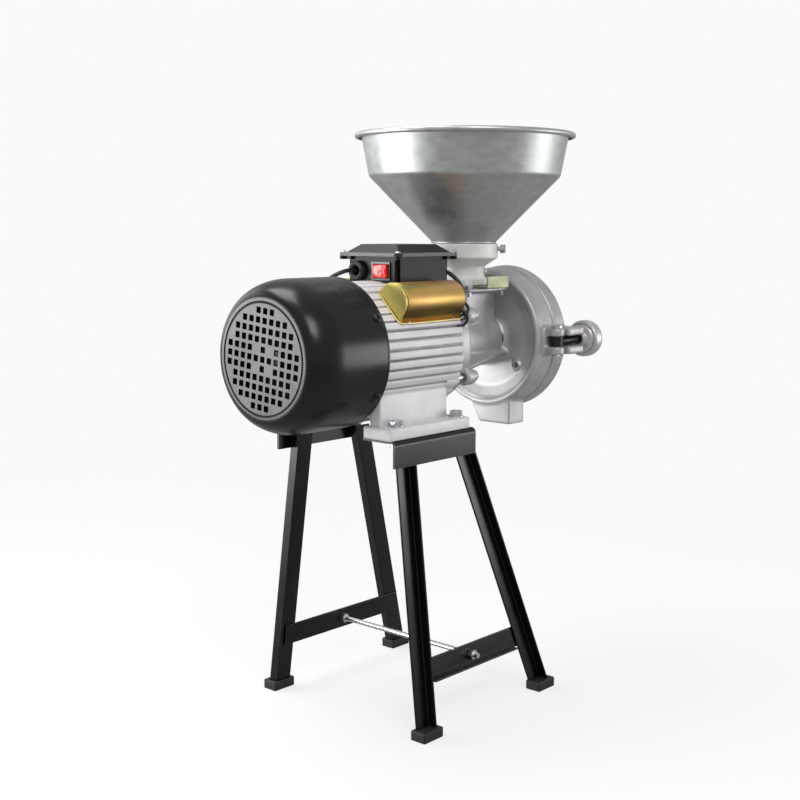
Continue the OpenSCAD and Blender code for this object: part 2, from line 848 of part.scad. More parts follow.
module switch_box() {
  boss_r = 3.9;
  color("#26272a")
    difference() {
      union() {
        at_station(box_x)
          translate([0, 0, box_skirt_z])
            linear_extrude(height = rim_z - box_skirt_z)
              rounded_square([box_l, box_w], 3 * edge_r);
        // Ears for the lid's screws
        at_station(box_x)
          translate([0, 0, rim_z - boss_r])
            linear_extrude(height = boss_r)
              for (s = [0, 1])
                for (t = [0, 1])
                  mirror([s, 0]) mirror([0, t])
                    translate([box_l / 2 + lid_over - lid_screw_in,
                          box_w / 2 + lid_over - lid_screw_in]) {
                      circle(r = boss_r);
                      translate([-3 * boss_r, -3 * boss_r])
                        square([3 * boss_r, 3 * boss_r]);
                    }
      }
      at_station(box_x)
        translate([0, 0, box_floor_z + box_wall])
          linear_extrude(height = rim_z)
            rounded_square([box_l - 2 * box_wall, box_w - 2 * box_wall], edge_r);
      along_shaft(housing_start) cylinder(h = 2 * box_x, r = fin_r + free_gap, $fn = 96);
      at_lid_screws()
        translate([0, 0, -lid_t - 3 * boss_r]) cylinder(h = 4 * boss_r, r = lid_screw_r + seat_gap);
      at_station(face_x) {
        // The rocker's opening runs in over the floor, which is thinned under its frame
        translate([-cut, rocker_y - rocker_w / 2, rocker_z - rocker_h / 2])
          cube([3 * box_wall + free_gap + cut, rocker_w, rocker_h]);
        translate([-cut, grommet_y, rocker_z])
          rotate([0, 90, 0]) cylinder(h = box_wall + 2 * cut, r = grommet_bore_r + edge_r);
      }
      at_station(box_x + box_l / 2 - box_wall - cut)
        translate([0, near_exit_y, rocker_z])
          rotate([0, 90, 0]) cylinder(h = box_wall + 2 * cut, r = lead_hole_r);
      at_station(gland_x)
        translate([0, box_w / 2 - box_wall - cut, gland_z])
          rotate([-90, 0, 0]) cylinder(h = box_wall + 2 * cut, r = thread_r + seat_gap);
    }
}

// A block whose four sides lean in: two prisms crossed
module hipped_block(l, w, h, lean_in) {
  intersection() {
    translate([0, w, 0])
      rotate([90, 0, 0])
        linear_extrude(height = 2 * w)
          polygon([[-l / 2, 0], [l / 2, 0], [l / 2 - lean_in, h], [-l / 2 + lean_in, h]]);
    translate([-l, 0, 0])
      rotate([90, 0, 90])
        linear_extrude(height = 2 * l)
          polygon([[-w / 2, 0], [w / 2, 0], [w / 2 - lean_in, h], [-w / 2 + lean_in, h]]);
  }
}

module switch_box_lid() {
  over = 2 * lid_over;
  color("#26272a")
    difference() {
      at_station(box_x)
        translate([0, 0, rim_z]) {
          linear_extrude(height = lid_t)
            rounded_square([box_l + over, box_w + over], lid_corner_r);
          translate([0, 0, lid_t - cut])
            hipped_block(box_l + over - 2 * hip_in, box_w + over - 2 * hip_in,
              lid_rise + cut, hip_slope_in);
        }
      at_lid_screws()
        translate([0, 0, -lid_t - cut]) cylinder(h = lid_rise + 2 * lid_t, r = lid_screw_r + seat_gap);
    }
}

module lid_screws() {
  head_r = 3.6;
  color("#9b9da0")
    at_lid_screws() cross_screw(lid_screw_r, head_r, lid_t + head_r);
}

module rocker_frame() {
  color("#151515")
    at_station(face_x)
      translate([0, rocker_y, rocker_z])
        rotate([0, -90, 0])
          difference() {
            union() {
              linear_extrude(height = bezel_t)
                square([rocker_h + 2 * bezel, rocker_w + 2 * bezel], center = true);
              translate([0, 0, -3 * box_wall])
                linear_extrude(height = 3 * box_wall)
                  square([rocker_h - 2 * seat_gap, rocker_w - 2 * seat_gap], center = true);
            }
            translate([0, 0, -2.5 * box_wall])
              linear_extrude(height = 4 * box_wall)
                square([rocker_h - bezel, rocker_w - bezel], center = true);
            rotate([0, 90, 0]) cylinder(h = rocker_h, r = pivot_r + run_gap, center = true);
          }
}

// The rocker turns about an upright pin at the frame's face. One half stands
// out, and the other half lies in, with a shallow hollow on each.
rocker_depth = 3.4;
rocker_rest_turn = rocker_swing / 2;

module rocker() {
  half = (rocker_w - bezel) / 2 - free_gap;
  height = rocker_h - bezel - 2 * free_gap;
  hub = 3;
  color("#c3202b")
    at_station(face_x)
      translate([0, rocker_y, rocker_z])
        rotate([0, 0, rocker_rest_turn]) {
          translate([0, 0, -height / 2])
            linear_extrude(height = height)
              polygon([
                [hub, -hub], [hub, hub], [-edge_r, half - edge_r],
                [-rocker_depth, half - edge_r], [-rocker_depth + edge_r, 0],
                [-rocker_depth, -half + edge_r], [-edge_r, -half + edge_r]
              ]);
          cylinder(h = rocker_h - 4 * seat_gap, r = pivot_r, center = true);
        }
}

module lead_grommet() {
  color("#121212")
    at_station(face_x)
      translate([0, grommet_y, rocker_z])
        rotate([0, -90, 0])
          rotate_extrude()
            polygon([
              [grommet_bore_r - edge_r, -box_wall],
              [grommet_bore_r + edge_r - 3 * seat_gap, -box_wall],
              [grommet_bore_r + edge_r - 3 * seat_gap, 0],
              [grommet_r, 0],
              [grommet_r, grommet_l - edge_r],
              [grommet_r - edge_r, grommet_l],
              [grommet_bore_r, grommet_l],
              [grommet_bore_r - edge_r, grommet_l - edge_r]
            ]);
}

module mains_gland() {
  color("#1a1a1c")
    at_station(gland_x)
      translate([0, box_w / 2, gland_z])
        rotate([-90, 0, 0])
          difference() {
            union() {
              translate([0, 0, -box_wall - edge_r]) cylinder(h = box_wall + gland_l, r = thread_r);
              hexagon(2 * gland_r, gland_l * 0.35);
              cylinder(h = gland_l, r = gland_r - edge_r);
            }
            translate([0, 0, -box_wall - 2 * edge_r - cut])
              cylinder(h = gland_l + 4 * box_wall, r = gland_bore_r);
          }
}

// Capacitors
cover_sheet = 1;
cap_lip_w = 6;
pad_drop = 4.5;
pad_over = 2;
cap_base_r = fin_r - pad_drop;
cap_centre_r = cap_base_r + cap_cover_rise;
pad_half_w = sqrt(fin_r * fin_r - cap_base_r * cap_base_r);
lead_r = 2.4;
lead_hole_r = lead_r + 2 * free_gap;
lead_stub = 4;
can_end_gap = 7;

// Puts its children at a capacitor: X along the shaft, Z straight out of the
// housing. side is -1 near and 1 far.
module at_capacitor(side) {
  mirror([0, side > 0 ? 1 : 0, 0])
    at_station(cap_cover_x)
      rotate([90 - cap_angle, 0, 0])
        translate([0, 0, cap_base_r])
          children();
}

// Flat pads cut into the housing for the capacitors' covers
module capacitor_pads() {
  for (side = [-1, 1])
    at_capacitor(side)
      translate([-pad_over, -pad_half_w, 0])
        cube([cap_cover_l + 2 * pad_over, 2 * pad_half_w, pad_half_w]);
}

// Round-backed section of a cover's space, standing on its base line
module cap_profile(r, base) {
  translate([0, cap_cover_rise]) circle(r = r);
  translate([-r, base]) square([2 * r, cap_cover_rise - base]);
}

module cap_cover(side) {
  color("#c9a24a")
    at_capacitor(side)
      rotate([90, 0, 90])
        difference() {
          union() {
            linear_extrude(height = cap_cover_l)
              intersection() {
                cap_profile(cap_cover_r, 0);
                translate([-2 * cap_cover_r, 0]) square(4 * cap_cover_r);
              }
            // Lip along the lower edge, screwed to the housing
            translate([-cap_cover_r - cap_lip_w, 0, 0]) cube([2 * cap_lip_w, cover_sheet, cap_cover_l]);
          }
          translate([0, 0, cover_sheet])
            linear_extrude(height = cap_cover_l - 2 * cover_sheet)
              intersection() {
                cap_profile(cap_cover_r - cover_sheet, -cut);
                translate([-2 * cap_cover_r, -cut]) square(4 * cap_cover_r);
              }
          // The lead's hole: in the front end near, and in the rear end far
          translate([0, cap_cover_rise, side < 0 ? cap_cover_l : 0])
            cylinder(h = 4 * cover_sheet, r = lead_hole_r, center = true);
        }
}

module capacitor_cover_near() { cap_cover(-1); }
module capacitor_cover_far() { cap_cover(1); }

// The can lies on the housing's pad, inside its cover
module can(side) {
  color("#1f2d3a")
    at_capacitor(side)
      translate([can_end_gap, 0, can_r + seat_gap])
        rotate([0, 90, 0]) cylinder(h = cap_cover_l - 2 * can_end_gap, r = can_r);
}

module capacitor_near() { can(-1); }
module capacitor_far() { can(1); }

// A sheathed lead bowed from one hole to another on one arc. bow is the way
// that the arc stands out, and bow_share its rise over its chord.
module lead(start, end, bow, bow_share) {
  chord = end - start;
  half = norm(chord) / 2;
  rise = bow_share * norm(chord);
  along = chord / norm(chord);
  square_bow = bow - along * (bow * along);
  outward = square_bow / norm(square_bow);
  across = cross(along, outward);
  arc_r = (half * half + rise * rise) / (2 * rise);
  half_turn = rise < arc_r ? asin(half / arc_r) : 180 - asin(half / arc_r);
  stub_turn = lead_stub / arc_r * 180 / PI;
  mid = (start + end) / 2 + outward * (rise - arc_r);
  place = [
    [along[0], outward[0], across[0], mid[0]],
    [along[1], outward[1], across[1], mid[1]],
    [along[2], outward[2], across[2], mid[2]],
    [0, 0, 0, 1]
  ];
  color("#141414")
    at_station(0)
      multmatrix(place)
        rotate([0, 0, 90 - half_turn - stub_turn])
          rotate_extrude(angle = 2 * (half_turn + stub_turn))
            translate([arc_r, 0]) circle(r = lead_r, $fn = 32);
}

cap_end_y = cap_centre_r * cos(cap_angle);
cap_end_z = cap_centre_r * sin(cap_angle);
near_exit_y = -box_w / 2 + 3 * lead_hole_r;

module capacitor_leads_near() {
  lead(
    [box_x + box_l / 2, near_exit_y, rocker_z],
    [cap_cover_x + cap_cover_l, -cap_end_y, cap_end_z],
    [1, 0, 0], 0.5
  );
}

module capacitor_leads_far() {
  lead(
    [face_x - grommet_l, grommet_y, rocker_z],
    [cap_cover_x, cap_end_y, cap_end_z],
    [-1, 0, 0], 0.4
  );
}

// Grinding head
meal_gap = 6;
chamber_r = disc_r + meal_gap;
dish_x = chamber_x - back_plate_t;
shoulder_r = 33.5;
shoulder_end_x = 213;
blend = 7;
bead_r = 4;
joint_step = 2;
seal_r = 22;
seal_l = 8;
seal_set = 3;
shaft_clear_r = front_bearing_bore_r + free_gap;
bolt_boss_r = 10;
bolt_boss_l = 10;
rib_t = 7;
rib_r = norm([through_bolt_y, through_bolt_z]) - bolt_boss_r;
stud_r = 3;
stud_at_r = 55.5;
stud_angles = [34, 154, 274];
stud_boss_r = 6;
stud_boss_l = 4;
pillar_half_w = 30;
pillar_half_d = 27;
ledge_t = 5;
ledge_half_l = 37.5;
throat_bolt_in = 6;
throat_bolt_r = 3;

// Swing clamps
pin_r = 4;
pin_set = 10;
pin_x = joint_x - pin_set;
eye_r = 8;
ear_r = 10;
slot_half_h = 6.2;
ear_half_h = 16;
fork_l = 33;
knob_gap = 2;
fork_reach = pin_set + fork_l;
knob_reach = fork_reach + knob_gap;
fork_clear_share = 0.9;
fork_out_y = swing_y + fork_clear_share * sqrt(knob_reach * knob_reach - fork_reach * fork_reach);
fork_in_y = swing_y - swing_r - edge_r;
ear_in_y = chamber_r + meal_gap / 2;

module ear_slot(x, l, in_y, out_y) {
  translate([x0 + x, -out_y - cut, axis_z - slot_half_h])
    cube([l, out_y - in_y + cut, 2 * slot_half_h]);
}

// Ears on both sides of the casing that hold the swing bolts' pins
module casing_ears() {
  for (s = [0, 1])
    mirror([0, s, 0])
      difference() {
        translate([x0, 0, axis_z - ear_half_h])
          linear_extrude(height = 2 * ear_half_h) {
            translate([pin_x, -swing_y]) circle(r = ear_r - free_gap);
            translate([pin_x - ear_r, -swing_y]) square([2 * ear_r - free_gap, swing_y - ear_in_y]);
          }
        ear_slot(casing_x, casing_l + cut, swing_y - eye_r - free_gap, swing_y + 2 * ear_r);
        translate([x0 + pin_x, -swing_y, axis_z])
          cylinder(h = 4 * ear_half_h, r = pin_r + seat_gap, center = true);
      }
}

module spout_section(inset) {
  near_y = -spout_w / 2 - spout_set;
  far_y = spout_w / 2 - spout_set;
  polygon([
    [near_y + inset, -casing_rear_r / 2],
    [near_y + inset, -spout_drop - (inset > 0 ? cut : 0)],
    [far_y - inset, -spout_drop - (inset > 0 ? cut : 0)],
    [far_y - inset, -spout_drop + (inset > 0 ? spout_foot : 0)],
    [far_y + spout_flare - inset, -spout_drop + spout_rise],
    [far_y + spout_flare - inset, -casing_rear_r / 2]
  ]);
}
spout_set = 17.5;
spout_flare = 18;
spout_rise = 36;
spout_foot = 4;
spout_wall = 3.5;
spout_back_x = casing_x + edge_r;

module mill_body() {
  front_r = casing_r - joint_step;
  color("#b4b5b7")
    difference() {
      union() {
        turned(concat(
          [[flange_x, front_bearing_r],
           [flange_x, flange_r],
           [flange_x + flange_t - edge_r, flange_r],
           [flange_x + flange_t, flange_r - edge_r],
           [flange_x + flange_t, shoulder_r + blend],
           [flange_x + flange_t + blend, shoulder_r],
           [shoulder_end_x - edge_r, shoulder_r],
           [shoulder_end_x, shoulder_r - edge_r],
           [shoulder_end_x, barrel_r],
           [dish_x - blend / 2, barrel_r],
           [dish_x, barrel_r + blend],
           [dish_x, casing_rear_r * dish_flat_share]],
          arc(casing_x + bead_r, casing_rear_r - bead_r, bead_r, bead_r, 270, 90, 6),
          [[joint_x - bead_r, front_r],
           [joint_x, front_r - edge_r],
           [joint_x, chamber_r],
           [chamber_x, chamber_r],
           [chamber_x, front_bearing_r]]
        ));
        at_through_bolts(flange_x + flange_t - bolt_boss_l / 2)
          cylinder(h = 1.5 * bolt_boss_l, r = bolt_boss_r);
        // Ribs from the barrel to the lower bosses
        for (s = [-1, 1])
          at_station(0)
            rotate([s * (90 + atan(through_bolt_z / through_bolt_y)), 0, 0])
              translate([0, rib_t / 2, 0])
                rotate([90, 0, 0])
                  linear_extrude(height = rib_t)
                    polygon([
                      [flange_x + flange_t / 2, front_bearing_r],
                      [flange_x + flange_t / 2, rib_r],
                      [flange_x + flange_t + bolt_boss_l, rib_r],
                      [dish_x + edge_r, barrel_r + blend],
                      [dish_x + edge_r, front_bearing_r]
                    ]);
        // Feed throat with its ledge
        at_station(hopper_x) {
          linear_extrude(height = ledge_h)
            rounded_square([2 * pillar_half_w, 2 * pillar_half_d], bead_r);
          translate([0, 0, ledge_h - ledge_t])
            linear_extrude(height = ledge_t)
              rounded_square([2 * ledge_half_l, 2 * ledge_half_w], bead_r);
        }
        for (a = stud_angles)
          at_station(dish_x - stud_boss_l)
            rotate([a, 0, 0])
              translate([0, -stud_at_r, 0])
                rotate([0, 90, 0]) cylinder(h = stud_boss_l + edge_r, r = stud_boss_r);
        casing_ears();
        // Discharge spout
        difference() {
          translate([x0 + spout_back_x, 0, axis_z])
            rotate([90, 0, 90])
              linear_extrude(height = joint_x - spout_back_x) spout_section(0);
          along_shaft(casing_x) cylinder(h = 2 * casing_l, r = chamber_r + edge_r);
        }
      }
      // Way of the meal, from the chamber down through the spout
      translate([x0 + chamber_x - spout_wall, 0, axis_z])
        rotate([90, 0, 90])
          linear_extrude(height = joint_x - chamber_x)
            difference() {
              spout_section(spout_wall);
              circle(r = chamber_r - edge_r);
            }
      // Bore of the barrel, the seal's seat and the throat
      along_shaft(screw_start_x - edge_r) cylinder(h = casing_x, r = barrel_bore_r);
      along_shaft(flange_x - cut) cylinder(h = casing_x - flange_x, r = shaft_clear_r);
      along_shaft(flange_x - cut) cylinder(h = seal_set + seal_l + cut, r = seal_r + seat_gap);
      at_station(hopper_x) cylinder(h = ledge_h + cut, r = throat_r);
      at_throat_bolts()
        translate([0, 0, -2 * ledge_t]) cylinder(h = 3 * ledge_t, r = throat_bolt_r + seat_gap);
      through_holes(flange_x - cut, flange_t + bolt_boss_l + 2 * cut);
      for (a = stud_angles)
        at_station(dish_x - stud_boss_l - cut)
          rotate([a, 0, 0])
            translate([0, -stud_at_r, 0])
              rotate([0, 90, 0])
                cylinder(h = stud_boss_l + back_plate_t + 2 * cut, r = stud_r + seat_gap);
    }
}
dish_flat_share = 0.72;

module at_throat_bolts() {
  for (s = [-1, 1])
    for (t = [-1, 1])
      at_station(hopper_x)
        translate([s * (ledge_half_l - throat_bolt_in), t * (ledge_half_w - throat_bolt_in), ledge_h])
          children();
}

module mill_bolts() {
  bolt_l = flange_t + bolt_boss_l + shield_t + lug_l - 2 * washer_t;
  color("#c9cbcd")
    at_through_bolts(flange_x + flange_t + bolt_boss_l) {
      cylinder(h = washer_t, r = 2.1 * through_bolt_r);
      translate([0, 0, washer_t]) hex_bolt(through_bolt_r, bolt_l + washer_t);
    }
}

module shaft_seal() {
  color("#3a2418")
    ring(flange_x + seal_set, seal_l, seal_r, front_bearing_bore_r + run_gap);
}

module feed_screw() {
  l = screw_end_x - screw_start_x;
  pitch = l / 3;
  flight_r = barrel_bore_r - free_gap;
  root_r = screw_seat_r + 3 * edge_r;
  land = 40;
  color("#9a9c9e")
    along_shaft(screw_start_x)
      difference() {
        union() {
          cylinder(h = l, r = root_r);
          linear_extrude(height = l, twist = -360 * l / pitch, slices = 45)
            polygon(concat([[0, 0]],
              [for (i = [0:2]) flight_r * [cos(land * i / 2), sin(land * i / 2)]]));
        }
        translate([0, 0, -cut]) cylinder(h = l + 2 * cut, r = screw_seat_r + seat_gap);
      }
}

eye_of_disc_r = 28;
furrow_w = 4;
furrow_depth = 2;

// Furrows run off the radius, so the meal is driven outwards
module furrows(r_in) {
  for (i = [0:furrow_n - 1])
    rotate([0, 0, i * 360 / furrow_n])
      translate([r_in, -r_in / 2, -furrow_depth])
        rotate([0, 0, 20]) cube([disc_r - r_in, furrow_w, 2 * furrow_depth]);
}

module fixed_disc() {
  color("#6e7072") {
    along_shaft(chamber_x)
      difference() {
        cylinder(h = fixed_disc_t, r = disc_r);
        translate([0, 0, -cut]) cylinder(h = fixed_disc_t + 2 * cut, r = eye_of_disc_r);
        translate([0, 0, fixed_disc_t]) furrows(eye_of_disc_r - furrow_w);
      }
    for (a = stud_angles)
      at_station(dish_x - stud_boss_l - 2 * edge_r)
        rotate([a, 0, 0])
          translate([0, -stud_at_r, 0])
            rotate([0, 90, 0])
              cylinder(h = stud_boss_l + back_plate_t + 3 * edge_r, r = stud_r);
  }
}

module running_disc() {
  vane_n = 4;
  vane_w = 8;
  color("#6e7072")
    along_shaft(running_disc_x)
      difference() {
        union() {
          cylinder(h = disc_t, r = disc_r);
          for (i = [0:vane_n - 1])
            rotate([0, 0, i * 360 / vane_n])
              translate([0, -vane_w / 2, furrow_depth])
                cube([disc_r + meal_gap / 2, vane_w, disc_t - furrow_depth]);
        }
        translate([0, 0, -cut]) cylinder(h = disc_t + 2 * cut, r = disc_seat_r + seat_gap);
        mirror([0, 1, 0]) furrows(eye_of_disc_r - furrow_w);
      }
}

cover_wall = 5;
cover_rim_l = 17;
cover_boss_r = 18;
front_face_r = 62;
adjust_r = 8;
crown_turn = 75;

module front_cover() {
  end_x = joint_x + front_cover_l;
  boss_end = end_x + cover_boss_l;
  color("#b0b1b3")
    difference() {
      union() {
        turned(concat(
          [[joint_x, chamber_r],
           [joint_x, casing_r - 2 * joint_step],
           [joint_x + joint_step, casing_r - joint_step],
           [joint_x + cover_rim_l, casing_r]],
          arc(joint_x + cover_rim_l, front_face_r,
            front_cover_l - cover_rim_l, casing_r - front_face_r, crown_turn, 0, 5),
          [[end_x, cover_boss_r + blend],
           [end_x + blend / 2, cover_boss_r],
           [boss_end - edge_r, cover_boss_r],
           [boss_end, cover_boss_r - edge_r],
           [boss_end, adjust_r + run_gap],
           [end_x - cover_wall - blend, adjust_r + run_gap],
           [end_x - cover_wall - blend, cover_boss_r],
           [end_x - cover_wall, cover_boss_r],
           [end_x - cover_wall, front_face_r - blend],
           [joint_x + cover_rim_l - cover_wall, chamber_r]]
        ));
        cover_forks();
      }
    }
}

// Forks on both sides of the cover that the swing bolts lie in
module cover_forks() {
  for (s = [0, 1])
    mirror([0, s, 0])
      difference() {
        translate([x0 + joint_x, -fork_out_y, axis_z - ear_half_h])
          linear_extrude(height = 2 * ear_half_h)
            polygon([
              [0, fork_out_y - ear_in_y],
              [0, edge_r],
              [edge_r, 0],
              [fork_l - edge_r, 0],
              [fork_l, edge_r],
              [fork_l, fork_out_y - fork_in_y + edge_r],
              [cover_rim_l, fork_out_y - ear_in_y]
            ]);
        ear_slot(joint_x - cut, fork_l + 2 * cut, fork_in_y, fork_out_y);
      }
}

module swing_pins() {
  head_r = 6.5;
  color("#c6c8ca")
    for (s = [-1, 1])
      translate([x0 + pin_x, s * swing_y, axis_z - ear_half_h - edge_r]) {
        cylinder(h = 2 * ear_half_h + edge_r, r = pin_r);
        translate([0, 0, 2 * ear_half_h + edge_r]) cylinder(h = 2 * edge_r, r = head_r);
      }
}

// Station of the knob's rear end, and its depth
knob_x = pin_x + knob_reach;
knob_l = 24;
knob_bore_l = 16;

module swing_bolt(side) {
  eye_half = slot_half_h - free_gap;
  color("#cdcfd1")
    translate([x0 + pin_x, side * swing_y, axis_z])
      difference() {
        union() {
          cylinder(h = 2 * eye_half, r = eye_r, center = true);
          rotate([0, 90, 0])
            cylinder(h = knob_reach + knob_bore_l - edge_r, r = swing_r);
        }
        cylinder(h = 4 * eye_half, r = pin_r + run_gap, center = true);
      }
}

module swing_bolt_near() { swing_bolt(-1); }
module swing_bolt_far() { swing_bolt(1); }

module closing_knob(side) {
  hub_r = 9;
  dish_r = 15;
  color("#b9babc")
    translate([x0 + knob_x, side * swing_y, axis_z])
      rotate([0, 90, 0])
        rotate_extrude($fn = 72)
          polygon([
            [swing_r + run_gap, 0],
            [hub_r, 0],
            [hub_r + edge_r, knob_l * 0.2],
            [dish_r, knob_l * 0.3],
            [knob_r - 2 * edge_r, knob_l * 0.36],
            [knob_r, knob_l * 0.46],
            [knob_r, knob_l * 0.8],
            [knob_r - 2 * edge_r, knob_l * 0.94],
            [dish_r, knob_l],
            [0, knob_l],
            [0, knob_bore_l],
            [swing_r + run_gap, knob_bore_l]
          ]);
}

module closing_knob_near() { closing_knob(-1); }
module closing_knob_far() { closing_knob(1); }

module lock_nut() {
  color("#c4c6c8")
    along_shaft(joint_x + front_cover_l + cover_boss_l)
      difference() {
        hexagon(3.2 * adjust_r, lock_nut_l);
        translate([0, 0, -cut]) cylinder(h = lock_nut_l + 2 * cut, r = adjust_r + run_gap);
      }
}

// Hand screw that presses the discs together
module fineness_handwheel() {
  tip_x = shaft_end_x + free_gap;
  wheel_x = front_reach - handwheel_t;
  grip_n = 8;
  grip_r = 5;
  hub_r = 13;
  color("#a5a6a8") {
    along_shaft(tip_x) cylinder(h = front_reach - tip_x, r = adjust_r);
    along_shaft(wheel_x)
      linear_extrude(height = handwheel_t)
        difference() {
          circle(r = handwheel_r);
          circle(r = adjust_r - edge_r);
          for (i = [0:grip_n - 1])
            rotate([0, 0, i * 360 / grip_n])
              translate([handwheel_r + grip_r / 2, 0]) circle(r = grip_r);
        }
    along_shaft(wheel_x - handwheel_gap / 2) cylinder(h = handwheel_gap, r = hub_r);
  }
}

// Feed and hopper
base_h = 11;
base_half_w = 31;
gate_t = 2;
gate_out_y = 53;
gate_tab_h = 14;
gate_gap = 0.3;
neck_wall = 3.5;
gate_in_y = gate_travel - neck_r + neck_wall - cut;
flare_h = 10;
collar_floor = 3;
collar_wall = collar_r - hopper_spout_r - free_gap;
neck_top = ledge_h + neck_h;
collar_top = neck_top + collar_h;
screw_turn = -57;
clamp_r = 2.5;
neck_screw_z = ledge_h + neck_h / 2;
collar_screw_z = neck_top + collar_h * 0.55;

module feed_box() {
  inner_r = neck_r - neck_wall;
  color("#cfcfcd")
    at_station(hopper_x)
      difference() {
        union() {
          translate([0, 0, ledge_h])
            linear_extrude(height = base_h)
              rounded_square([2 * base_half_w, 2 * base_half_w], bead_r);
          translate([0, 0, ledge_h]) cylinder(h = neck_h, r = neck_r);
          translate([0, 0, neck_top - collar_floor]) cylinder(h = collar_h + collar_floor, r = collar_r);
          translate([0, 0, neck_top - collar_floor - flare_h])
            cylinder(h = flare_h, r1 = neck_r, r2 = collar_r);
        }
        translate([0, 0, ledge_h - cut]) cylinder(h = neck_h + 2 * cut, r = inner_r);
        translate([0, 0, neck_top]) cylinder(h = collar_h + cut, r = collar_r - collar_wall);
        // Channel of the gate
        translate([-gate_w / 2 - gate_gap, -base_half_w - cut, ledge_h - cut])
          cube([gate_w + 2 * gate_gap, base_half_w + cut + gate_in_y + gate_gap,
             gate_t + 2 * gate_gap + cut]);
        // Room for the ledge's bolt heads
        for (s = [-1, 1])
          for (t = [-1, 1])
            translate([s * (ledge_half_l - throat_bolt_in), t * (ledge_half_w - throat_bolt_in),
                  ledge_h - cut])
              cylinder(h = base_h + 2 * cut, r = 2.4 * throat_bolt_r);
        at_clamp(neck_screw_z, 0) cylinder(h = neck_r + cut, r = clamp_r + run_gap);
        at_clamp(collar_screw_z, 0) cylinder(h = collar_r + cut, r = clamp_r + run_gap);
      }
}

// Along the radius that both clamping screws lie on
module at_clamp(z, r) {
  rotate([0, 0, screw_turn]) translate([r, 0, z]) rotate([0, 90, 0]) children();
}

module neck_screw() {
  head_r = 4;
  color("#c8cacc")
    at_station(hopper_x)
      at_clamp(neck_screw_z, neck_r + free_gap) cross_screw(clamp_r, head_r, neck_wall + free_gap);
}

module hopper_screw() {
  wing_l = 5;
  wing_t = 2.4;
  stem_l = 5;
  color("#c8cacc")
    at_station(hopper_x)
      at_clamp(collar_screw_z, hopper_spout_r + gate_gap) {
        cylinder(h = collar_r - hopper_spout_r + stem_l, r = clamp_r);
        translate([0, 0, collar_r - hopper_spout_r + stem_l / 2]) {
          cylinder(h = stem_l, r = 2 * clamp_r);
          translate([-wing_l, -wing_t / 2, stem_l * 0.3]) cube([2 * wing_l, wing_t, wing_l]);
        }
      }
}

module throat_bolts() {
  color("#c8cacc")
    at_throat_bolts() hex_bolt(throat_bolt_r, ledge_t + throat_bolt_in);
}

module feed_gate() {
  color("#8d9168")
    at_station(hopper_x) {
      translate([-gate_w / 2, -gate_out_y, ledge_h + gate_gap])
        cube([gate_w, gate_out_y + gate_in_y, gate_t]);
      translate([-gate_w / 2, -gate_out_y, ledge_h + gate_gap])
        cube([gate_w, gate_t, gate_tab_h]);
    }
}

module hopper() {
  spigot_z = neck_top + free_gap;
  band = 2;
  cone_z = collar_top + band;
  fold_z = cone_z + hopper_cone_h;
  lip_z = fold_z + hopper_wall_h;
  roll_r = 3.2;
  spout_r = hopper_spout_r;
  slant_t = hopper_t * 1.3;
  color("#b7bbbd")
    at_station(hopper_x) {
      rotate_extrude($fn = 128)
        polygon([
          [spout_r - hopper_t, spigot_z],
          [spout_r, spigot_z],
          [spout_r, cone_z],
          [hopper_fold_r, fold_z],
          [hopper_top_r, lip_z],
          [hopper_rim_r - roll_r, lip_z],
          [hopper_rim_r - roll_r, lip_z + hopper_t],
          [hopper_top_r - hopper_t, lip_z + hopper_t],
          [hopper_fold_r - slant_t, fold_z + hopper_t],
          [spout_r - hopper_t, cone_z + hopper_t]
        ]);
      translate([0, 0, lip_z + hopper_t - roll_r])
        rotate_extrude($fn = 128)
          translate([hopper_rim_r - roll_r, 0]) circle(r = roll_r, $fn = 32);
    }
}

stand_bracket_near();
stand_bracket_far();
leg_near_rear();
leg_near_front();
leg_far_rear();
leg_far_front();
crossbar_near();
crossbar_far();
tie_rod();
tie_rod_nuts();
foot_near_rear();
foot_near_front();
foot_far_rear();
foot_far_front();
motor_housing();
foot_bolts();
stator_core();
stator_windings();
end_shield_rear();
end_shield_front();
bearing_rear();
bearing_front();
motor_shaft();
rotor_core();
cooling_fan();
fan_cover();
fan_cover_screws();
switch_box();
switch_box_lid();
lid_screws();
rocker_frame();
rocker();
lead_grommet();
mains_gland();
capacitor_near();
capacitor_far();
capacitor_cover_near();
capacitor_cover_far();
capacitor_leads_near();
capacitor_leads_far();
mill_body();
mill_bolts();
shaft_seal();
feed_screw();
fixed_disc();
running_disc();
front_cover();
swing_pins();
swing_bolt_near();
swing_bolt_far();
closing_knob_near();
closing_knob_far();
fineness_handwheel();
lock_nut();
feed_box();
feed_gate();
neck_screw();
hopper_screw();
throat_bolts();
hopper();
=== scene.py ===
# %% [markdown]
# # An electric grain mill, dressed for a product picture
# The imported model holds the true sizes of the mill, so it is loaded first and
# never changed. Each cell below adds one finish or one piece. Where the model's
# own piece has the right shape, it only gets a finish. Where the real piece has
# soft edges, folds or threads, a finer piece stands in its place.

import math

import bmesh
import bpy
from mathutils import Matrix, Vector


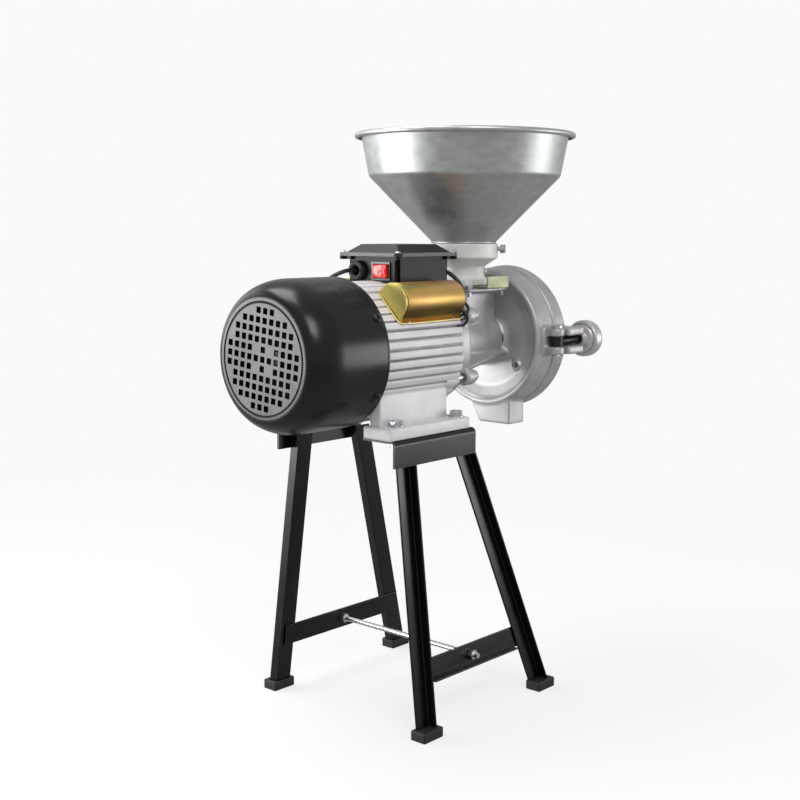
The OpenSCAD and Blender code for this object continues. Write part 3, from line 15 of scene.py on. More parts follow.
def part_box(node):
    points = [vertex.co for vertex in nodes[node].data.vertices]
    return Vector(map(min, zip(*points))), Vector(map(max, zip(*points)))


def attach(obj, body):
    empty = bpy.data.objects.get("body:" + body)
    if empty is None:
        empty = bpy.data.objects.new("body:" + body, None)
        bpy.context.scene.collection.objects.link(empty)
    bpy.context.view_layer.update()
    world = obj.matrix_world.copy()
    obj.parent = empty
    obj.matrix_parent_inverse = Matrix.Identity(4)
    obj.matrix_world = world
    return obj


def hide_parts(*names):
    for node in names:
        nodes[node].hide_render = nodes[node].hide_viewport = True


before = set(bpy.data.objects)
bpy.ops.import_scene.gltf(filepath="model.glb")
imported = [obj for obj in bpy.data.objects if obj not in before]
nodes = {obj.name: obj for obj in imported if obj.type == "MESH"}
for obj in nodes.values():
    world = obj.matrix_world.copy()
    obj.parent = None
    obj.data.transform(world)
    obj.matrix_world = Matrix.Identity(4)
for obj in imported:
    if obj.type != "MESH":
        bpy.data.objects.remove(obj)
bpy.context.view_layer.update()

# %% [markdown]
# ## Stations and colours
# The model puts X along the motor shaft and the floor at Z = 0. Real drawings of
# such a machine count stations from one line, and the open rim of the fan cover
# is at station 7. Colours are written as a designer reads them off a screen,
# and one function turns them into the linear values that light adds up in.

# %% Stations and colours
MM = 0.001
RIM_STATION = 7.0
START_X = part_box("fan_cover")[1].x - RIM_STATION * MM
SHAFT_Z = (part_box("motor_shaft")[0].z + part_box("motor_shaft")[1].z) / 2


def at(station, y, height):
    """A point from its station, its Y and its height above the shaft, in mm."""
    return Vector((START_X + station * MM, y * MM, SHAFT_Z + height * MM))


def linear(colour):
    """The linear colour of an sRGB hex value."""
    channels = [int(colour[i:i + 2], 16) / 255 for i in (1, 3, 5)]
    return [c / 12.92 if c <= 0.04045 else ((c + 0.055) / 1.055) ** 2.4 for c in channels] + [1.0]


print("shaft height", round(SHAFT_Z, 4))

# %% [markdown]
# ## Camera
# The photograph looks at the fan end from the near side, a little above the
# shaft. Its place and lens were found by matching the feet, the shaft and the
# hopper's rim, so they are written as they came out, in degrees and metres.

# %% Camera
VIEW_TURN = math.radians(-48.30)
VIEW_RISE = math.radians(7.75)
VIEW_ROLL = math.radians(0.21)
VIEW_PLACE = Vector((-1.1016, -0.9655, 0.5469))
SENSOR = 36.0
FOCAL_PIXELS = 1269.92
IMAGE_PIXELS = 800
FAR_CLIP = 20.0

back = Vector((
    math.sin(VIEW_TURN) * math.cos(VIEW_RISE),
    -math.cos(VIEW_TURN) * math.cos(VIEW_RISE),
    math.sin(VIEW_RISE),
))
level = (-back).cross(Vector((0, 0, 1))).normalized()
upright = level.cross(-back)
right = level * math.cos(VIEW_ROLL) + upright * math.sin(VIEW_ROLL)
up = upright * math.cos(VIEW_ROLL) - level * math.sin(VIEW_ROLL)

lens = bpy.data.cameras.new("photo_camera")
lens.sensor_width = SENSOR
lens.lens = FOCAL_PIXELS * SENSOR / IMAGE_PIXELS
lens.clip_end = FAR_CLIP
camera = bpy.data.objects.new("photo_camera", lens)
turned = Matrix((right, up, back)).transposed().to_4x4()
camera.matrix_world = Matrix.Translation(VIEW_PLACE) @ turned
bpy.context.scene.collection.objects.link(camera)
bpy.context.scene.camera = camera
bpy.context.scene.view_settings.view_transform = "Standard"
print("lens", round(lens.lens, 2), "mm")

# %% [markdown]
# ## Helpers for shader nodes
# Every finish is a small tree of nodes. The first helper makes a node, sets its
# options, and fills or links its inputs. The others are the steps that finishes
# share, so that each finish reads as a recipe.

# %% Node helpers and the start of a finish
NOISE_RANGE = (0.3, 0.7)


def add(tree, kind, inputs=None, **settings):
    """Adds a node, sets its options, and fills or links its inputs."""
    made = tree.nodes.new(kind)
    for name, value in settings.items():
        setattr(made, name, value)
    for key, value in (inputs or {}).items():
        if isinstance(value, bpy.types.NodeSocket):
            tree.links.new(value, made.inputs[key])
        else:
            made.inputs[key].default_value = value
    return made


def start_finish(name, colour, metallic, roughness, **extra):
    """A material with one principled shader. Returns it, its tree and its shader."""
    material = bpy.data.materials.new(name)
    material.use_nodes = True
    tree = material.node_tree
    tree.nodes.clear()
    shader = add(tree, "ShaderNodeBsdfPrincipled", {
        "Base Color": linear(colour), "Metallic": metallic, "Roughness": roughness, **extra,
    })
    add(tree, "ShaderNodeOutputMaterial", {"Surface": shader.outputs["BSDF"]})
    return material, tree, shader


def noise(tree, size_mm, stretch=(1, 1, 1), detail=2.0, roughness=0.5):
    """Noise in the piece's own space, one blob about size_mm, squeezed by stretch."""
    place = add(tree, "ShaderNodeTexCoord").outputs["Object"]
    squeezed = add(tree, "ShaderNodeMapping", {"Vector": place, "Scale": stretch})
    return add(tree, "ShaderNodeTexNoise", {
        "Vector": squeezed.outputs["Vector"], "Scale": 1 / (size_mm * MM),
        "Detail": detail, "Roughness": roughness,
    }).outputs["Fac"]


def ramp(tree, value, stops):
    """A colour ramp through stops of (position, hex colour)."""
    made = add(tree, "ShaderNodeValToRGB", {"Fac": value})
    band = made.color_ramp
    while len(band.elements) < len(stops):
        band.elements.new(0.5)
    for element, (position, colour) in zip(band.elements, stops):
        element.position = position
        element.color = linear(colour)
    return made.outputs["Color"]


def spread(tree, value, low, high):
    """Moves noise, which mostly stays inside NOISE_RANGE, to the range low to high."""
    return add(tree, "ShaderNodeMapRange", {
        "Value": value, "From Min": NOISE_RANGE[0], "From Max": NOISE_RANGE[1],
        "To Min": low, "To Max": high,
    }).outputs["Result"]


def vary_colour(tree, shader, value, stops):
    """Lets a value pick the shader's colour from the stops of a ramp."""
    tree.links.new(ramp(tree, value, stops), shader.inputs["Base Color"])


def vary_roughness(tree, shader, value, low, high):
    """Lets noise move the shader's roughness between low and high."""
    tree.links.new(spread(tree, value, low, high), shader.inputs["Roughness"])


def bump(tree, shader, height, depth_mm, strength=1.0):
    """Lets a height pattern of depth_mm disturb the shader's normal."""
    lifted = add(tree, "ShaderNodeBump", {
        "Height": height, "Distance": depth_mm * MM, "Strength": strength,
    })
    tree.links.new(lifted.outputs["Normal"], shader.inputs["Normal"])


# %% [markdown]
# ## Paint and castings
# The stand and the fan cover are sprayed with gloss black enamel. Sprayed enamel
# has a faint orange-peel wave, which breaks up its reflections. The castings are
# sand-cast aluminium, blasted and sprayed silver: the grain is a fine bump, and
# a slow mottle keeps large faces from looking like plastic.

# %% Paint and casting finishes
def gloss_black_enamel():
    material, tree, shader = start_finish(
        "gloss_black_enamel", "#060607", metallic=0.0, roughness=0.24,
        **{"Specular IOR Level": 0.36})
    bump(tree, shader, noise(tree, size_mm=4.0, detail=1.0), depth_mm=0.05, strength=0.5)
    vary_roughness(tree, shader, noise(tree, size_mm=60.0), 0.22, 0.32)
    return material


def cast_silver(name, light, dark, roughness, grain_mm, metallic):
    """Sprayed sand casting: a slow mottle, and grains of grain_mm that blasting left."""
    material, tree, shader = start_finish(name, light, metallic, roughness)
    vary_colour(tree, shader, noise(tree, size_mm=22.0, detail=4.0), [(0.3, dark), (0.62, light)])
    grain = noise(tree, grain_mm, detail=3.0, roughness=0.6)
    bump(tree, shader, grain, depth_mm=0.22, strength=0.55)
    vary_roughness(tree, shader, grain, roughness - 0.05, roughness + 0.07)
    return material


enamel = gloss_black_enamel()
cast_aluminium = cast_silver("blasted_cast_aluminium", "#b6b4b6", "#a6a4a6",
                             roughness=0.42, grain_mm=1.3, metallic=0.5)
motor_silver = cast_silver("silver_sprayed_housing", "#d6d4d6", "#cccacd",
                           roughness=0.44, grain_mm=1.0, metallic=0.1)
light_casting = cast_silver("light_feed_casting", "#dededb", "#d4d4d1",
                            roughness=0.5, grain_mm=1.3, metallic=0.1)
knob_silver = cast_silver("bright_knob_casting", "#cfcbcb", "#b9b5b5",
                          roughness=0.34, grain_mm=1.6, metallic=0.6)

# %% [markdown]
# ## Plated and rolled metals
# The capacitor covers and the feed gate are zinc plated and passivated. The thin
# chromate film turns gold, green and pink, and drifts slowly over a piece. On
# the covers a painted shade, tinted olive, lies in a band along the lower side,
# with a warm painted reflection below it. The end that faces the fan cover is
# lighter and yellower, partly its own film tint and partly painted light on that
# face. Bolts have clear zinc. The hopper is rolled and brushed sheet, whose fine
# lines run around its axis.

# %% Plated and rolled finishes
# These band constants and the ramp by height are painted shade on the covers' lower side: a dark
# olive band with a warm painted reflection below it. The film's own colours are in FILM_DRIFT.
SHADE_BAND_FOOT = 0.4540
SHADE_BAND_HEIGHT = 0.020
SHADE_BAND_WAVE = 0.010
END_STATION = 40.6
# The end plate's colour is its own yellow film tint, made lighter as painted light on that face.
END_FILM_AND_PAINTED_LIGHT = "#cfc070"
FILM_DRIFT = [(0.32, "#93995a"), (0.42, "#c3a25a"), (0.52, "#cfa468"), (0.60, "#cc9572"),
              (0.70, "#b08f55")]
PAINTED_SHADE_BY_HEIGHT = [(0.0, "#e0c98a"), (0.18, "#7d8050"), (0.5, "#8b8a52"), (1.0, "#ffffff")]


def mixed_colour(tree, share, first, second, blend="MIX"):
    """Two colours mixed. Blender 4 numbers a mix node's colour sockets 6, 7 and 2."""
    mix = add(tree, "ShaderNodeMix", {"Factor": share, 6: first, 7: second},
              data_type="RGBA", blend_type=blend)
    return mix.outputs[2]


def passivate_with_painted_shade():
    material, tree, shader = start_finish(
        "yellow_passivated_zinc", "#b98a3c", metallic=0.85, roughness=0.40)
    drift = noise(tree, size_mm=34.0, stretch=(0.45, 1, 1), detail=2.0)
    film = ramp(tree, drift, FILM_DRIFT)
    place = add(tree, "ShaderNodeTexCoord").outputs["Object"]
    split = add(tree, "ShaderNodeSeparateXYZ", {"Vector": place})
    wavy = add(tree, "ShaderNodeMath", {
        0: drift, 1: SHADE_BAND_WAVE, 2: split.outputs["Z"]}, operation="MULTIPLY_ADD")
    upper = add(tree, "ShaderNodeMapRange", {
        "Value": wavy.outputs[0], "From Min": SHADE_BAND_FOOT, "From Max": SHADE_BAND_FOOT + SHADE_BAND_HEIGHT})
    # Painted shade by height: darker olive in the band, a warm painted reflection below it, the
    # film's own colour above it.
    shade = ramp(tree, upper.outputs["Result"], PAINTED_SHADE_BY_HEIGHT)
    film_with_painted_shade = mixed_colour(tree, 1.0, film, shade, "MULTIPLY")
    # The end plate gets one lighter, yellower colour, film tint and painted light together, and no
    # painted shade band.
    past_end = add(tree, "ShaderNodeMath", {
        0: split.outputs["X"], 1: START_X + END_STATION * MM}, operation="GREATER_THAN")
    ended = mixed_colour(tree, past_end.outputs[0], linear(END_FILM_AND_PAINTED_LIGHT), film_with_painted_shade)
    tree.links.new(ended, shader.inputs["Base Color"])
    bump(tree, shader, noise(tree, size_mm=6.0), depth_mm=0.05, strength=0.4)
    return material


def olive_passivate():
    material, tree, shader = start_finish(
        "olive_passivated_zinc", "#8a8b74", metallic=0.7, roughness=0.45)
    vary_colour(tree, shader, noise(tree, size_mm=14.0), [(0.35, "#84866c"), (0.6, "#a2a08a")])
    return material


def bare_metal(name, colour, roughness):
    """Plated or ground metal, slightly uneven in its gloss."""
    material, tree, shader = start_finish(name, colour, 1.0, roughness)
    vary_roughness(tree, shader, noise(tree, size_mm=3.0), roughness - 0.06, roughness + 0.08)
    return material


def rolled_sheet():
    material, tree, shader = start_finish("rolled_sheet", "#b2b5b4", metallic=1.0, roughness=0.50)
    blotch = noise(tree, size_mm=16.0, stretch=(1, 1, 2.0), detail=3.0, roughness=0.6)
    vary_colour(tree, shader, blotch, [(0.32, "#b0b3b2"), (0.66, "#bfc2c1")])
    lines = noise(tree, size_mm=1.2, stretch=(0.08, 0.08, 1.0), detail=2.0)
    bump(tree, shader, lines, depth_mm=0.03, strength=0.35)
    vary_roughness(tree, shader, blotch, 0.38, 0.46)
    return material


shaded_yellow_zinc = passivate_with_painted_shade()
olive_zinc = olive_passivate()
# Zinc for the rolled hem, with its pale colour a painted highlight along the bright edge.
hem_zinc_painted_highlight = bare_metal("pale_yellow_zinc", "#e6d8a0", 0.42)
plated_steel = bare_metal("clear_zinc_steel", "#c4c7ca", 0.3)
drawn_steel = bare_metal("drawn_bright_steel", "#d6d9db", 0.2)
sheet = rolled_sheet()

# %% [markdown]
# ## Plastics, rubber and inner metals
# The switch box is moulded black plastic with a fine spark-eroded grain. The
# rocker is glossy red. The feet, the grommet and the leads are rubber. The inner
# pieces are seen only through gaps, and still get what they are made of.

# %% Plastic, rubber and inner finishes
def moulded(name, colour, roughness, grain_mm, depth_mm, **extra):
    """Plastic or rubber with the fine grain of its mould."""
    material, tree, shader = start_finish(name, colour, 0.0, roughness, **extra)
    grain = noise(tree, grain_mm, detail=2.0)
    bump(tree, shader, grain, depth_mm, strength=0.5)
    vary_roughness(tree, shader, grain, roughness - 0.05, roughness + 0.06)
    return material


box_plastic = moulded("moulded_black_plastic", "#121214", 0.38, 1.4, 0.04,
                      **{"Specular IOR Level": 0.18})
lid_plastic = moulded("moulded_lid_plastic", "#242426", 0.36, 1.8, 0.05)
pale_print = moulded("pale_print", "#f2dada", 0.4, 2.0, 0.01)
fan_plastic = moulded("matte_fan_plastic", "#08080a", 0.7, 2.0, 0.02,
                      **{"Specular IOR Level": 0.12})
frame_plastic = moulded("glossy_black_plastic", "#131315", 0.22, 2.0, 0.02)
red_plastic = moulded("red_rocker_plastic", "#e01420", 0.2, 2.0, 0.01, **{"Coat Weight": 0.3})
rubber = moulded("black_rubber", "#19191a", 0.62, 1.0, 0.08)
cable_rubber = moulded("cable_rubber", "#161617", 0.42, 1.0, 0.03)
can_sleeve = moulded("blue_can_sleeve", "#22324a", 0.4, 2.0, 0.02)
dark_steel = bare_metal("oiled_dark_steel", "#383736", 0.38)
cast_iron = bare_metal("ground_cast_iron", "#77797b", 0.5)
core_steel = bare_metal("lacquered_core_steel", "#5d5f61", 0.55)
copper = bare_metal("varnished_copper", "#b0633a", 0.35)

STAND = ["stand_bracket_near", "stand_bracket_far", "leg_near_rear", "leg_near_front",
         "leg_far_rear", "leg_far_front", "crossbar_near", "crossbar_far"]
FEET = ["foot_near_rear", "foot_near_front", "foot_far_rear", "foot_far_front"]
FINISHES = {
    enamel: STAND + ["fan_cover", "fan_cover_screws"],
    rubber: FEET + ["lead_grommet", "shaft_seal"],
    drawn_steel: ["tie_rod", "bearing_rear", "bearing_front"],
    dark_steel: ["swing_bolt_near", "swing_bolt_far", "motor_shaft"],
    plated_steel: ["tie_rod_nuts", "foot_bolts", "lid_screws", "mill_bolts", "swing_pins",
                   "lock_nut", "neck_screw", "hopper_screw", "throat_bolts"],
    motor_silver: ["motor_housing", "end_shield_rear", "end_shield_front"],
    cast_aluminium: ["mill_body", "front_cover", "closing_knob_near", "closing_knob_far",
                     "fineness_handwheel"],
    light_casting: ["feed_box"],
    sheet: ["hopper"],
    shaded_yellow_zinc: ["capacitor_cover_near", "capacitor_cover_far"],
    olive_zinc: ["feed_gate"],
    box_plastic: ["switch_box", "switch_box_lid", "mains_gland"],
    fan_plastic: ["cooling_fan"],
    frame_plastic: ["rocker_frame"],
    red_plastic: ["rocker"],
    can_sleeve: ["capacitor_near", "capacitor_far"],
    core_steel: ["stator_core", "rotor_core"],
    copper: ["stator_windings"],
    cast_iron: ["feed_screw", "fixed_disc", "running_disc"],
    cable_rubber: ["capacitor_leads_near", "capacitor_leads_far"],
}
for finish, names in FINISHES.items():
    for name in names:
        nodes[name].data.materials.clear()
        nodes[name].data.materials.append(finish)
print("finished nodes", sum(len(names) for names in FINISHES.values()), "of", len(nodes))

# %% [markdown]
# ## Helpers for new pieces
# A real part gets its shape from turning, folding, casting or extruding, and the
# helpers below follow these. Each new piece names the model's nodes that it
# stands for, the body that it moves with, and its finish.

# %% Making meshes and setting pieces
WELD = 0.002
CREASE = 38


def finish_mesh(name, shape):
    """A mesh from a bmesh, with its normals pointing out."""
    bmesh.ops.remove_doubles(shape, verts=shape.verts, dist=WELD * MM)
    bmesh.ops.recalc_face_normals(shape, faces=shape.faces)
    mesh = bpy.data.meshes.new(name)
    shape.to_mesh(mesh)
    shape.free()
    return mesh


def joined(name, meshes):
    """One mesh from several, which are then removed."""
    shape = bmesh.new()
    for mesh in meshes:
        shape.from_mesh(mesh)
        bpy.data.meshes.remove(mesh)
    mesh = bpy.data.meshes.new(name)
    shape.to_mesh(mesh)
    shape.free()
    return mesh


def linked(name, data):
    """A new object that holds the data, in the scene."""
    holder = bpy.data.objects.new(name, data)
    bpy.context.scene.collection.objects.link(holder)
    return holder


def kept(holder, *used):
    """The mesh that a holder's modifiers make. The holder and the used meshes go."""
    bpy.context.view_layer.update()
    ready = holder.evaluated_get(bpy.context.evaluated_depsgraph_get())
    made = bpy.data.meshes.new_from_object(ready)
    bpy.data.objects.remove(holder)
    for mesh in used:
        bpy.data.meshes.remove(mesh)
    return made


def set_piece(name, mesh, finish, replaced=(), body="frame", crease=CREASE):
    """Makes a piece of a mesh: its finish, its body, and the nodes it stands for."""
    if not mesh.materials:
        mesh.materials.append(finish)
    if crease:
        mesh.shade_smooth()
        mesh.set_sharp_from_angle(angle=math.radians(crease))
    piece = linked(name, mesh)
    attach(piece, body)
    if replaced:
        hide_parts(*replaced)
    print(name, len(mesh.polygons), "faces")


# %% Turned, drawn and rounded shapes
ORIGIN = Vector((0, 0, 0))
MOST_OF_AN_EDGE = 0.45
TUBE_STEPS = 16


def sweep(start, end, steps):
    """The even steps from start to end, with both."""
    return [start + (end - start) * k / steps for k in range(steps + 1)]


def turns(count):
    """The angles of this many even steps round a circle."""
    return [2 * math.pi * k / count for k in range(count)]


def soft_corners(points, reach, steps=4, closed=False):
    """A polyline whose corners are rounded over reach on both sides."""
    made = []
    count = len(points)
    for i, point in enumerate(points):
        if not closed and i in (0, count - 1):
            made.append(tuple(point))
            continue
        corner = Vector(point)
        before = Vector(points[i - 1]) - corner
        after = Vector(points[(i + 1) % count]) - corner
        first = corner + before.normalized() * min(reach, before.length * MOST_OF_AN_EDGE)
        last = corner + after.normalized() * min(reach, after.length * MOST_OF_AN_EDGE)
        for t in sweep(0, 1, steps):
            made.append(tuple(first * (1 - t) ** 2 + corner * 2 * t * (1 - t) + last * t * t))
    return made


def bridge(shape, rings, closed=True):
    """Faces from each ring of points to the next, and from the last to the first if closed."""
    pairs = list(zip(rings, rings[1:])) + ([(rings[-1], rings[0])] if closed else [])
    for low, high in pairs:
        for k, (first, second) in enumerate(zip(low, high)):
            after = (k + 1) % len(low)
            shape.faces.new((first, low[after], high[after], second))


def lathe(name, profile, centre, axis, steps=144, closed=True):
    """A turned mesh from points of (along, radius) in mm, about X or Z through centre."""
    shape = bmesh.new()
    rings = []
    for along, radius in profile:
        ring = []
        for turn in turns(steps):
            a, b = radius * math.cos(turn), radius * math.sin(turn)
            offset = Vector((along, a, b)) if axis == "X" else Vector((a, b, along))
            ring.append(shape.verts.new(centre + offset * MM))
        rings.append(ring)
    bridge(shape, rings, closed)
    return finish_mesh(name, shape)


def round_edges(shape, edges, soft_mm, segments):
    """Rounds the edges of a bmesh over soft_mm on both sides."""
    bmesh.ops.bevel(shape, geom=edges, offset=soft_mm * MM, segments=segments,
                    profile=0.5, affect="EDGES", clamp_overlap=True)


def prism(name, section, place, start, end, soft=0.0, segments=3):
    """A section of (u, v) points in mm drawn from start to end. place(w, u, v) gives
    the point, and soft rounds the edges of both ends."""
    shape = bmesh.new()
    low = [shape.verts.new(place(start, u, v)) for u, v in section]
    high = [shape.verts.new(place(end, u, v)) for u, v in section]
    caps = [shape.faces.new(low), shape.faces.new(high)]
    bridge(shape, [low, high], closed=False)
    bmesh.ops.recalc_face_normals(shape, faces=shape.faces)
    if soft:
        rim = {edge for cap in caps for edge in cap.edges}
        round_edges(shape, list(rim), soft, segments)
    return finish_mesh(name, shape)


def soft_box(name, middle, size, soft, segments=3):
    """A block with rounded edges. middle is a point, and size and soft are in mm."""
    shape = bmesh.new()
    bmesh.ops.create_cube(shape, size=1.0)
    bmesh.ops.scale(shape, vec=Vector(size) * MM, verts=shape.verts)
    round_edges(shape, list(shape.edges), soft, segments)
    bmesh.ops.translate(shape, vec=middle, verts=shape.verts)
    return finish_mesh(name, shape)


def tube(name, points, radius, roundness=6):
    """A round tube in mm along a smooth path through points."""
    path = bpy.data.curves.new(name, "CURVE")
    path.dimensions = "3D"
    path.bevel_depth = radius * MM
    path.bevel_resolution = roundness
    path.resolution_u = TUBE_STEPS
    path.use_fill_caps = True
    line = path.splines.new("BEZIER")
    line.bezier_points.add(len(points) - 1)
    for knot, point in zip(line.bezier_points, points):
        knot.co = point
        knot.handle_left_type = knot.handle_right_type = "AUTO"
    mesh = kept(linked(name, path))
    bpy.data.curves.remove(path)
    return mesh


# %% Helpers that start from the model's own pieces
MODEL_WELD = 0.005
FLAT = math.radians(1.0)
FOLD_ANGLE = math.radians(30)
FULL_WEIGHT = 100


def merged_copy(names):
    """The model's pieces as one bmesh, with their loose triangles merged."""
    shape = bmesh.new()
    for name in names:
        shape.from_mesh(nodes[name].data)
    bmesh.ops.remove_doubles(shape, verts=shape.verts, dist=MODEL_WELD * MM)
    return shape


def evened(mesh):
    """The mesh with normals that follow its large faces, so flats stay flat in light."""
    mesh.shade_smooth()
    mesh.set_sharp_from_angle(angle=math.radians(CREASE))
    holder = linked(mesh.name, mesh)
    even = holder.modifiers.new("even", "WEIGHTED_NORMAL")
    even.weight = FULL_WEIGHT
    even.keep_sharp = True
    return kept(holder, mesh)


def folded(name, finish, soft_mm, body="frame", shortest=3.0, segments=3):
    """A sheet or moulded piece: the model's own, with its edges rounded over soft_mm,
    apart from those under the shortest length in mm."""
    shape = merged_copy([name])
    bmesh.ops.dissolve_limit(shape, angle_limit=FLAT, verts=shape.verts, edges=shape.edges)
    sharp = [edge for edge in shape.edges
             if len(edge.link_faces) == 2 and edge.calc_length() > shortest * MM
             and abs(edge.calc_face_angle()) > FOLD_ANGLE]
    round_edges(shape, sharp, soft_mm, segments)
    mesh = evened(finish_mesh(name, shape))
    set_piece(name + "_folded", mesh, finish, [name], body, crease=None)


def cast(name, names, finish, voxel_mm, rounds, body="frame", extra=()):
    """A casting: a voxel skin over the model's pieces, relaxed in rounds so that edges
    go soft. Extra meshes are cast in with them."""
    source = bpy.data.meshes.new(name)
    shape = merged_copy(names)
    for mesh in extra:
        shape.from_mesh(mesh)
        bpy.data.meshes.remove(mesh)
    shape.to_mesh(source)
    shape.free()
    holder = linked(name, source)
    skin = holder.modifiers.new("skin", "REMESH")
    skin.mode = "VOXEL"
    skin.voxel_size = voxel_mm * MM
    relax = holder.modifiers.new("relax", "SMOOTH")
    relax.factor = 0.5
    relax.iterations = rounds
    set_piece(name, kept(holder, source), finish, names, body, crease=70)


# %% [markdown]
# ## Repeats with Geometry Nodes
# Fins, grille holes and bolts are all one thing repeated. A small tree sets a
# template on every point of a mesh, turned by one rotation and one more step
# per point, and ends in plain geometry, which is kept as an ordinary mesh.

# %% The repeating tree
def repeat_tree():
    tree = bpy.data.node_groups.new("repeat_on_points", "GeometryNodeTree")
    face = tree.interface
    for label, kind in (("Points", "Geometry"), ("Template", "Object"), ("First turn", "Vector"),
                        ("Turn per point", "Vector"), ("Finish", "Material")):
        face.new_socket(label, in_out="INPUT", socket_type="NodeSocket" + kind)
    face.new_socket("Geometry", in_out="OUTPUT", socket_type="NodeSocketGeometry")
    given = add(tree, "NodeGroupInput")
    index = add(tree, "GeometryNodeInputIndex")
    stepped = add(tree, "ShaderNodeVectorMath", {
        0: given.outputs["Turn per point"], "Scale": index.outputs["Index"]}, operation="SCALE")
    turned = add(tree, "ShaderNodeVectorMath", {
        0: stepped.outputs["Vector"], 1: given.outputs["First turn"]}, operation="ADD")
    shown = add(tree, "GeometryNodeObjectInfo", {"Object": given.outputs["Template"]})
    placed = add(tree, "GeometryNodeInstanceOnPoints", {
        "Points": given.outputs["Points"], "Instance": shown.outputs["Geometry"],
        "Rotation": turned.outputs["Vector"]})
    real = add(tree, "GeometryNodeRealizeInstances", {"Geometry": placed.outputs["Instances"]})
    dressed = add(tree, "GeometryNodeSetMaterial", {
        "Geometry": real.outputs["Geometry"], "Material": given.outputs["Finish"]})
    add(tree, "NodeGroupOutput", {"Geometry": dressed.outputs["Geometry"]})
    return tree


REPEAT = repeat_tree()
REPEAT_INPUTS = {item.name: item.identifier for item in REPEAT.interface.items_tree
                 if item.in_out == "INPUT"}


def repeated(name, template, points, finish, first=(0, 0, 0), step=(0, 0, 0)):
    """A template mesh on each of the points, as one plain mesh. Turns are in radians."""
    dots = bpy.data.meshes.new(name)
    dots.from_pydata([tuple(point) for point in points], [], [])
    holder = linked(name, dots)
    pattern = linked(name + "_template", template)
    maker = holder.modifiers.new("repeat", "NODES")
    maker.node_group = REPEAT
    maker[REPEAT_INPUTS["Template"]] = pattern
    maker[REPEAT_INPUTS["First turn"]] = first
    maker[REPEAT_INPUTS["Turn per point"]] = step
    maker[REPEAT_INPUTS["Finish"]] = finish
    mesh = kept(holder, dots)
    bpy.data.objects.remove(pattern)
    bpy.data.meshes.remove(template)
    return mesh


def cut_away(name, mesh, tools):
    """The mesh without the space of the tool meshes."""
    body = linked(name, mesh)
    knife = linked(name + "_tools", joined(name + "_tools", tools))
    cut = body.modifiers.new("cut", "BOOLEAN")
    cut.operation = "DIFFERENCE"
    cut.solver = "EXACT"
    cut.object = knife
    made = kept(body, mesh)
    bpy.data.objects.remove(knife)
    return made


# %% [markdown]
# ## Finned motor housing
# The housing is an aluminium casting. Its cooling fins have rounded crests and a
# little draft, and their ends are rounded by fettling. They are cut back where
# the capacitors' covers sit, a little further than the covers reach. Two
# pedestals carry it on the foot plates. All its sizes are in mm, and pairs are
# first and last stations.

# %% Finned barrel
FIN_COUNT = 44
FIN_CREST = 76.0
FIN_ROOT = 68.2
FIN_GAP = 2.7
FIN_DRAFT = 0.35
FIN_SUNK = 2.0
BORE = 60.2
HOUSING = (-18.0, 138.0)
HOUSING_CHAMFER = 1.0
PAD_RADIUS = 71.6
PAD_REACH = 32.0
PAD_ANGLE = math.radians(45)
PAD_STATIONS = (12.0, 140.0)
AXIS = at(0, 0, 0)


def slanted(side, base):
    """Places points from a base radius above the shaft on a slanting pad: w along
    the shaft, u up along the pad and v out of it."""
    out = Vector((0, side * math.cos(PAD_ANGLE), math.sin(PAD_ANGLE)))
    along = Vector((0, -side * math.sin(PAD_ANGLE), math.cos(PAD_ANGLE)))
    return lambda w, u, v: AXIS + (Vector((w, 0, 0)) + out * (base + v) + along * u) * MM


def fin_template():
    half = math.pi * FIN_CREST / FIN_COUNT - FIN_GAP / 2
    section = soft_corners([
        (-half - FIN_DRAFT, FIN_ROOT - FIN_SUNK), (-half + FIN_DRAFT, FIN_CREST),
        (half - FIN_DRAFT, FIN_CREST), (half + FIN_DRAFT, FIN_ROOT - FIN_SUNK)], 1.3, 3)
    return prism("fin", section, lambda w, u, v: Vector((w, u, v)) * MM, *HOUSING,
                 soft=0.7, segments=2)


def pad_tool(side):
    low, top = PAD_RADIUS, FIN_CREST + 5
    section = [(-PAD_REACH, low), (PAD_REACH, low), (PAD_REACH, top), (-PAD_REACH, top)]
    return prism("pad_tool", section, slanted(side, 0), *PAD_STATIONS)


fin_step = 2 * math.pi / FIN_COUNT
fins = repeated("fins", fin_template(), [AXIS] * FIN_COUNT, motor_silver, step=(fin_step, 0, 0))
fins = cut_away("fins", fins, [pad_tool(-1), pad_tool(1)])
barrel = lathe("barrel", [
    (HOUSING[0], BORE), (HOUSING[0], FIN_ROOT), (HOUSING[1] - HOUSING_CHAMFER, FIN_ROOT),
    (HOUSING[1], FIN_ROOT - HOUSING_CHAMFER), (HOUSING[1], BORE)], AXIS, "X")

# %% Pedestals, feet and lugs
FOOT_X = 67
FOOT_Y = 68.0
FOOT_BASE = -88.0
FOOT_SIZE = (132, 40, 13)
PEDESTAL_STATIONS = (8.5, 118.5)
PEDESTAL_SUNK = 6
PEDESTAL_TOP = -42.0
PEDESTAL_FOOT_Y = (51.0, 67.0)
PEDESTAL_TOP_Y = (50.0, 66.0)
LUG_PLACES = [(58, 35), (-58, 35), (58, -35), (-58, -35)]
LUG_PROFILE = [(118, 0), (118, 9), (138, 9), (138, 0)]


def pedestal(side):
    low = FOOT_BASE + PEDESTAL_SUNK
    section = soft_corners([
        (side * PEDESTAL_FOOT_Y[0], low), (side * PEDESTAL_FOOT_Y[1], low),
        (side * PEDESTAL_TOP_Y[1], PEDESTAL_TOP), (side * PEDESTAL_TOP_Y[0], PEDESTAL_TOP),
    ], 2.0, 3, closed=True)
    return prism("pedestal", section, at, *PEDESTAL_STATIONS, soft=2.5)


